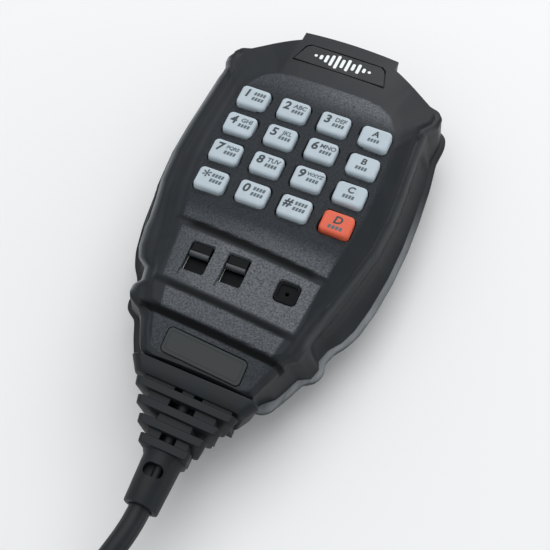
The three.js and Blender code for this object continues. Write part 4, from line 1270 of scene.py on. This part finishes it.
piece("chin_badge_plate", make_chin_badge(), HOUSING, [BADGE], ["chin_badge"])


# ---------------------------------------------------------------- slide knobs and the microphone
def make_slide_knob(name, x):
    y = SLIDE_Y + 2.0
    floor_z = float(line_height(SLIDE_Y)) - 2.5
    build = Build()
    top = floor_z + 2.95
    shield = [level(rounded_box(2.6, 5.2, 0.4, 3, (x, y - 0.4)), z)
              for z in (floor_z - 0.7, floor_z)]
    build.rings(shield)
    sections = []
    profile = ((-1.75, 0.0), (-1.85, 1.3), (-1.72, 2.05), (-1.40, 2.42), (-0.95, 2.45), (-0.70, 2.18),
               (-0.2, 2.08), (0.7, 2.1), (1.2, 2.2), (1.5, 2.1), (1.68, 1.5), (1.7, 0.0))
    tall = (top - floor_z) / 2.8
    lip_faces = 5                      # the rounded lower lip has a painted highlight, brighter than the rest
    for side, inset in ((-2.55, 0.25), (-2.4, 0.0), (2.4, 0.0), (2.55, 0.25)):
        sections.append([(x + side, y + py * (1 - inset * 0.15), floor_z - 0.1 + max(pz - inset, 0.0) * tall)
                         for py, pz in profile])
    first = len(build.faces)
    build.rings(sections)
    for face in range(first, first + 3 * len(profile)):
        if 1 <= (face - first) % len(profile) < lip_faces:
            build.finish_of[face] = 1
    return piece(f"slide_cap_{name}", build.mesh(f"slide_cap_{name}"), f"slide_knob_{name}",
                 [GLOSS, GLOSS_HIGHLIGHT], [f"slide_knob_{name}"], 50)


for name, x in zip(("left", "right"), SLIDE_X):
    make_slide_knob(name, x)


def make_mic_cup():
    x, y = MIC_AT
    top = float(line_height(y))
    build = Build()
    half = MIC_WINDOW / 2 - 0.12
    stack = ((half, 1.2, top - 2.4), (half, 1.2, top - 0.75), (half - 0.12, 1.15, top - 0.55),
             (half - 0.4, 1.0, top - 0.5), (half - 0.62, 0.9, top - 0.6), (half - 0.75, 0.85, top - 0.95),
             (1.1, 0.75, top - 1.02), (0.55, 0.5, top - 1.1), (0.42, 0.4, top - 1.3), (0.42, 0.4, top - 2.4))
    build.rings([level(rounded_box(w, w, min(c, w * 0.98), 6, (x, y)), z)
                 for w, c, z in stack], loop=True)
    skirt = ((3.1, top - 2.5), (4.2, top - 2.5), (4.2, -8.0), (3.35, -8.0), (3.35, top - 3.5),
             (0.6, top - 3.5), (0.6, top - 2.5))
    build.rings([level(disc(r, (x, y), 32), z) for r, z in skirt], loop=True)
    return build.mesh("mic_cup")


piece("mic_cup", make_mic_cup(), HOUSING, [FOAM], ["mic_boot"])


# ---------------------------------------------------------------- talk bar and edge buttons
def make_talk_bar():
    low, high = TALK_SPAN[0] + 0.45, TALK_SPAN[1] - 0.75
    rows = []
    for y in np.linspace(low, high, 151):
        end = min(y - low, high - y)
        closing = 0.0 if end > 1.2 else 0.3 * (1 - math.sqrt(max(0.0, 1 - (1 - end / 1.2) ** 2)))
        rib = 0.0
        if -20 < y < 14:
            phase = (y + 20) % 2.0
            rib = 0.28 * math.exp(-((phase - 1.0) / 0.42) ** 2)
        deck, rim = float(edge_x(1, y) + left_reach(y)), float(edge_x(0, y))
        top_z, low_z = TALK_ROOF - GAP, SEAM + 0.8
        section = [(TALK_INNER, low_z), (TALK_INNER, top_z)]
        deck_height = float(deck_z(y))
        for t in (0.0, 0.04, 0.12, 0.25, 0.4, 0.55, 0.7, 0.85, 0.95, 1.0):
            z = top_z + (low_z - top_z) * t
            share = (z - deck_height) / (SEAM - deck_height)
            out = deck + (rim - 1 - deck) * share + 0.45
            rounding = 0.35 * max(0.0, 1 - t / 0.1) ** 2 + 0.35 * max(0.0, 1 - (1 - t) / 0.1) ** 2
            ridge = rib * math.sin(math.pi * min(1.0, max(0.0, (t - 0.12) / 0.76)))
            section.append((-(out - rounding - closing + min(ridge, 0.1 + ridge * 0.3)), z))
        rows.append([(x, y, z) for x, z in section])
    build = Build().rings(rows)
    block(build, -27.2, -23.2, 18.8, 22.8, -13, -9)
    return build.mesh("talk_bar")


talk_mesh = make_talk_bar()
piece("talk_bar_skin", talk_mesh, "ptt_bar", [TALK], ["ptt_bar"], 40)


def make_edge_button(name, x):
    face = BROW_EDGE - BROW_BOW * (BUTTON_X / BROW_SIDE) ** 2 + 1.2
    build = Build()
    stack = ((35.0, 4.3, 2.4, 0.5), (35.7, 4.3, 2.4, 0.5), (35.7, 3.5, 1.7, 0.8),
             (face - 0.5, 3.45, 1.65, 0.8), (face - 0.2, 3.3, 1.5, 0.75), (face - 0.05, 3.0, 1.2, 0.7),
             (face - 0.05, 2.2, 0.5, 0.4))
    build.rings([[(x + px, y, BUTTON_Z + pz) for px, pz in reversed(rounded_box(w, h, c, 5))]
                 for y, w, h, c in stack])
    up = 1 if name == "up" else -1
    arrow = [(x + px * 0.8, pz * 0.75 * up) for px, pz in ((-1, -0.7), (1, -0.7), (0, 0.9))]
    build.rings([[(px, face - 0.05, BUTTON_Z + pz) for px, pz in arrow],
                 [(px, face, BUTTON_Z + pz) for px, pz in arrow]])
    return piece(f"{name}_button_cap", build.mesh(f"{name}_button_cap"), f"{name}_button", [RUBBER],
                 [f"{name}_button"], 40)


make_edge_button("up", BUTTON_X)
make_edge_button("down", -BUTTON_X)


# ---------------------------------------------------------------- cord boot
def oblong_ring(y, half_x, half_z, corner, steps=6, tuck=0.0):
    """A rib's outline; tuck draws its underside in towards the middle."""
    ring = []
    for px, pz in reversed(rounded_box(half_x, half_z, corner, steps)):
        below = min(1.0, max(0.0, (half_z * 0.45 - pz) / (half_z * 1.45)))
        ring.append((px * (1 - tuck * below ** 1.3), y, BOOT_AXIS + pz))
    return ring


RIBS = ((13.0, 6.9), (10.8, 6.4), (8.6, 5.9), (6.5, 5.4))
RIB_LOSS = (2.17 / 13.0, 0.0, 0.5 / 6.9)      # each rib is that much smaller than the one above
RIB_FIRST = CHIN_EDGE - 5.9
RIB_PITCH = 3.95
RIB_THICK = 2.1


def boot_bar(build, x0, x1, y0, y1, half_z):
    block(build, x0, x1, y0, y1, BOOT_AXIS - half_z, BOOT_AXIS + half_z)


def make_boot():
    build = Build()
    wall = CHIN_EDGE - GAP
    build.rings([oblong_ring(y, hx, hz, c, tuck=0.22) for y, hx, hz, c in (
        (wall - 3.7, 13.2, 6.3, 2.0), (wall - 3.7, 13.9, 7.0, 2.4), (wall - 3.4, 14.2, 7.25, 2.5),
        (wall - 0.1, 16.25, 7.9, 2.6), (wall + 0.2, 16.1, 7.75, 2.6), (wall + 0.2, 4.9, 4.9, 4.8),
        (CHIN_EDGE + 5.2, 4.9, 4.9, 4.8), (CHIN_EDGE + 5.2, 7, 5.4, 5.3), (CHIN_EDGE + 7.2, 7, 5.4, 5.3))])
    rib = Build()
    half = RIB_THICK / 2
    stack = []
    for y, dx, dz in ((-half, -0.75, -0.3), (0.15 - half, -0.5, -0.05), (half - 0.15, 0.0, 0.0),
                      (half, -0.25, -0.25)):
        ring = oblong_ring(y, RIBS[0][0] + dx, RIBS[0][1] + dz, 1.6, tuck=0.28)
        stack.append([(px, py, pz - BOOT_AXIS) for px, py, pz in ring])
    rib.rings(stack)
    taken_in(build, row_of(rib, 4, (0, RIB_FIRST, BOOT_AXIS), (0, -RIB_PITCH, 0), RUBBER, RIB_LOSS))
    stops = [wall - 3.7] + [RIB_FIRST - i * RIB_PITCH for i in range(4)]
    for i, (upper, lower) in enumerate(zip(stops, stops[1:])):
        half_x, half_z = RIBS[i]
        rod(build, (0, upper, BOOT_AXIS), (0, lower, BOOT_AXIS), min(half_z - 2.2, 3.6), 24)
        if i == 0:
            for x0, x1 in ((-11.0, -3.4), (-1.3, 1.6), (3.8, 11.2)):
                boot_bar(build, x0, x1, lower, upper, half_z - 0.55)
        elif i == 2:
            boot_bar(build, -4.2, 4.2, lower, upper, half_z - 0.5)
        else:
            for side in (-1, 1):
                inner, outer = half_x * 0.30, half_x * 0.78
                x0, x1 = sorted((side * inner, side * outer))
                boot_bar(build, x0, x1, lower, upper, half_z - 0.55)
            rod(build, (0, upper, BOOT_AXIS + half_z - 2.9), (0, lower, BOOT_AXIS + half_z - 2.9), 1.5, 20)
    neck = RIB_FIRST - 3 * RIB_PITCH - RIB_THICK / 2
    sleeve = [(neck + 0.6, 5.6, 4.9), (neck, 5.5, 4.8), (neck - 1.4, SLEEVE + 0.45, SLEEVE + 0.4),
              (BOOT_END + 0.35, SLEEVE, SLEEVE), (BOOT_END + 0.1, SLEEVE - 0.1, SLEEVE - 0.1),
              (BOOT_END, SLEEVE - 0.3, SLEEVE - 0.3), (BOOT_END, 2.95, 2.95), (BOOT_END + 1.6, 2.9, 2.9),
              (BOOT_END + 1.6, 0.5, 0.5)]
    turns = [2 * math.pi * k / 48 for k in range(48)]
    tube = Build().rings([[(hx * math.sin(turn), y, BOOT_AXIS + hz * math.cos(turn)) for turn in turns]
                          for y, hx, hz in sleeve])
    slot = Build()
    prism(slot, rounded_box(2.45, 1.6, 1.5, 8, (-0.2, neck - 4.7)), BOOT_AXIS + 1.6, BOOT_AXIS + 6)
    mesh = cut_away(tube.mesh("boot_sleeve"), [slot.mesh("boot_slot")])
    taken_in(build, mesh)
    rod(build, (0.5, neck - 2.6, BOOT_AXIS + 2.0), (0.5, neck - 6.9, BOOT_AXIS + 2.0), 1.15, 20)
    return build.mesh("ribbed_boot")


def swung(mesh):
    """The boot hangs a little to one side, so its ribs slant."""
    for vertex in mesh.vertices:
        x = vertex.co.x / MM
        reach = min(1.0, max(0.0, (CHIN_EDGE + SHIFT + 0.5 - vertex.co.y / MM) / 0.8))
        vertex.co.y += reach * chin_bow(x) * MM
    return mesh


piece("ribbed_boot", swung(make_boot()), HOUSING, [RUBBER], ["cord_boot"], 35)


# ---------------------------------------------------------------- solids carried over with their edges eased
def eased(name, node, body, material, width):
    """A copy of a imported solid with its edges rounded, in a better finish."""
    tool = bmesh.new()
    tool.from_mesh(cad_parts[node].data)
    bmesh.ops.remove_doubles(tool, verts=tool.verts, dist=1e-6)
    bmesh.ops.dissolve_limit(tool, angle_limit=math.radians(1.0), verts=tool.verts, edges=tool.edges)
    mesh = bpy.data.meshes.new(name)
    tool.to_mesh(mesh)
    tool.free()
    made = piece(name, mesh, body, [material], [node])
    rounding = made.modifiers.new("ease", "BEVEL")
    rounding.width = width * MM
    rounding.segments = 2
    rounding.limit_method = "ANGLE"
    rounding.angle_limit = math.radians(38)
    return made


CARRIED = [(f"case_screw_head_{i}", f"case_screw_{i}", OXIDE, "dark_steel", 0.12) for i in (1, 2, 3, 4)]
CARRIED += [(f"board_screw_head_{i}", f"board_screw_{i}", OXIDE, "dark_steel", 0.1) for i in (1, 2)]
CARRIED += [
    ("hanger_stud", "hanger_button", NICKEL, "bright_steel", 0.2),
    ("hanger_stud_screw", "hanger_screw", OXIDE, "dark_steel", 0.1),
    ("key_mat", "keypad_mat", INNER_WHITE, "white_inner", 0.1),
    ("circuit_board", "main_board", LACQUER, "board_green", 0.08),
    ("switch_can_left", "slide_switch_left", NICKEL, "bright_steel", 0.1),
    ("switch_can_right", "slide_switch_right", NICKEL, "bright_steel", 0.1),
    ("mic_can", "mic_capsule", NICKEL, "bright_steel", 0.1),
    ("talk_pin", "ptt_pin", NICKEL, "bright_steel", 0.1),
    ("talk_switch", "ptt_switch", GLOSS, "black_gloss", 0.15),
    ("up_tact", "up_switch", GLOSS, "black_gloss", 0.15),
    ("down_tact", "down_switch", GLOSS, "black_gloss", 0.15),
    ("lead_clamp", "cord_clamp", GLOSS, "black_gloss", 0.2),
    ("lead_bundle", "wire_bundle", JACKET, "cord_jacket", 0.2),
    ("lead_socket", "wire_connector", INNER_WHITE, "white_inner", 0.2),
]
for name, node, material, slot, width in CARRIED:
    eased(name, node, HOUSING, material, width)
plug_latch = eased("latch", "plug_latch", "plug_latch", CLEAR, 0.15)


# ---------------------------------------------------------------- plug, in the floor's frame
PLUG_X = 16.6
PLUG_Z = 3.4
PLUG_TIP = -78.7
PLUG_HEEL = -100.2
PLUG_PITCH = 1.02


def off_floor(points):
    """From the floor's frame, in millimetres, to the maker's."""
    return [(x, y - SHIFT, z - LIFT) for x, y, z in points]


def make_plug():
    build = Build()
    half_x, half_z = 5.85, 3.25
    stack = []
    for y, dx in ((PLUG_HEEL, 0.35), (PLUG_HEEL + 0.3, 0.05), (PLUG_HEEL + 4, 0.0), (PLUG_TIP - 8, 0.0),
                  (PLUG_TIP - 7.6, 0.2), (PLUG_TIP - 0.5, 0.2), (PLUG_TIP - 0.1, 0.4), (PLUG_TIP, 0.6)):
        ring = rounded_box(half_x - dx, half_z - dx * 0.5, 0.5, 4)
        stack.append(off_floor([(PLUG_X + px, y, PLUG_Z + pz) for px, pz in reversed(ring)]))
    build.rings(stack)
    contact, wire = Build(), Build()
    block(contact, -0.34, 0.34, PLUG_TIP - 6.4, PLUG_TIP - 0.9, -3.27, -1.0)
    rod(wire, (0, PLUG_TIP - 7.0, -0.6), (0, PLUG_HEEL + 3.0, 0), 0.42, 10)
    first = off_floor([(PLUG_X - 3.5 * PLUG_PITCH, 0, PLUG_Z)])[0]
    second = off_floor([(PLUG_X - 2.5 * PLUG_PITCH, 0, PLUG_Z)])[0]
    taken_in(build, row_of(contact, 8, first, (PLUG_PITCH, 0, 0), GOLD), 1)
    taken_in(build, row_of(wire, 4, first, (2 * PLUG_PITCH, 0, 0), INNER_WHITE), 2)
    taken_in(build, row_of(wire, 4, second, (2 * PLUG_PITCH, 0, 0), KEY_ORANGE), 3)
    return build.mesh("plug_shell")


plug = piece("plug_shell", make_plug(), HOUSING, [CLEAR, GOLD, INNER_WHITE, KEY_ORANGE],
             ["plug_body"], 35)


def make_plug_boot():
    build = Build()
    stack = []
    for y, hx, hz in ((-112.0, 3.0, 2.85), (-111.7, 3.3, 3.1), (-110.0, 4.15, 3.25), (-109.4, 4.2, 3.28),
                      (-109.2, 3.8, 3.0), (-108.4, 3.85, 3.0), (-108.2, 4.5, 3.3), (-106.6, 4.65, 3.3),
                      (-106.4, 4.1, 3.0), (-105.6, 4.15, 3.0), (-105.4, 4.8, 3.3), (-103.4, 5.0, 3.3),
                      (-100.9, 5.2, 3.3), (-100.5, 4.9, 3.0)):
        ring = rounded_box(hx, hz, min(hx, hz) * 0.72, 6)
        stack.append(off_floor([(PLUG_X + px, y, PLUG_Z + pz) for px, pz in reversed(ring)]))
    return build.rings(stack).mesh("plug_sleeve")


plug_sleeve = piece("plug_sleeve", make_plug_boot(), HOUSING, [JACKET], ["plug_boot"])
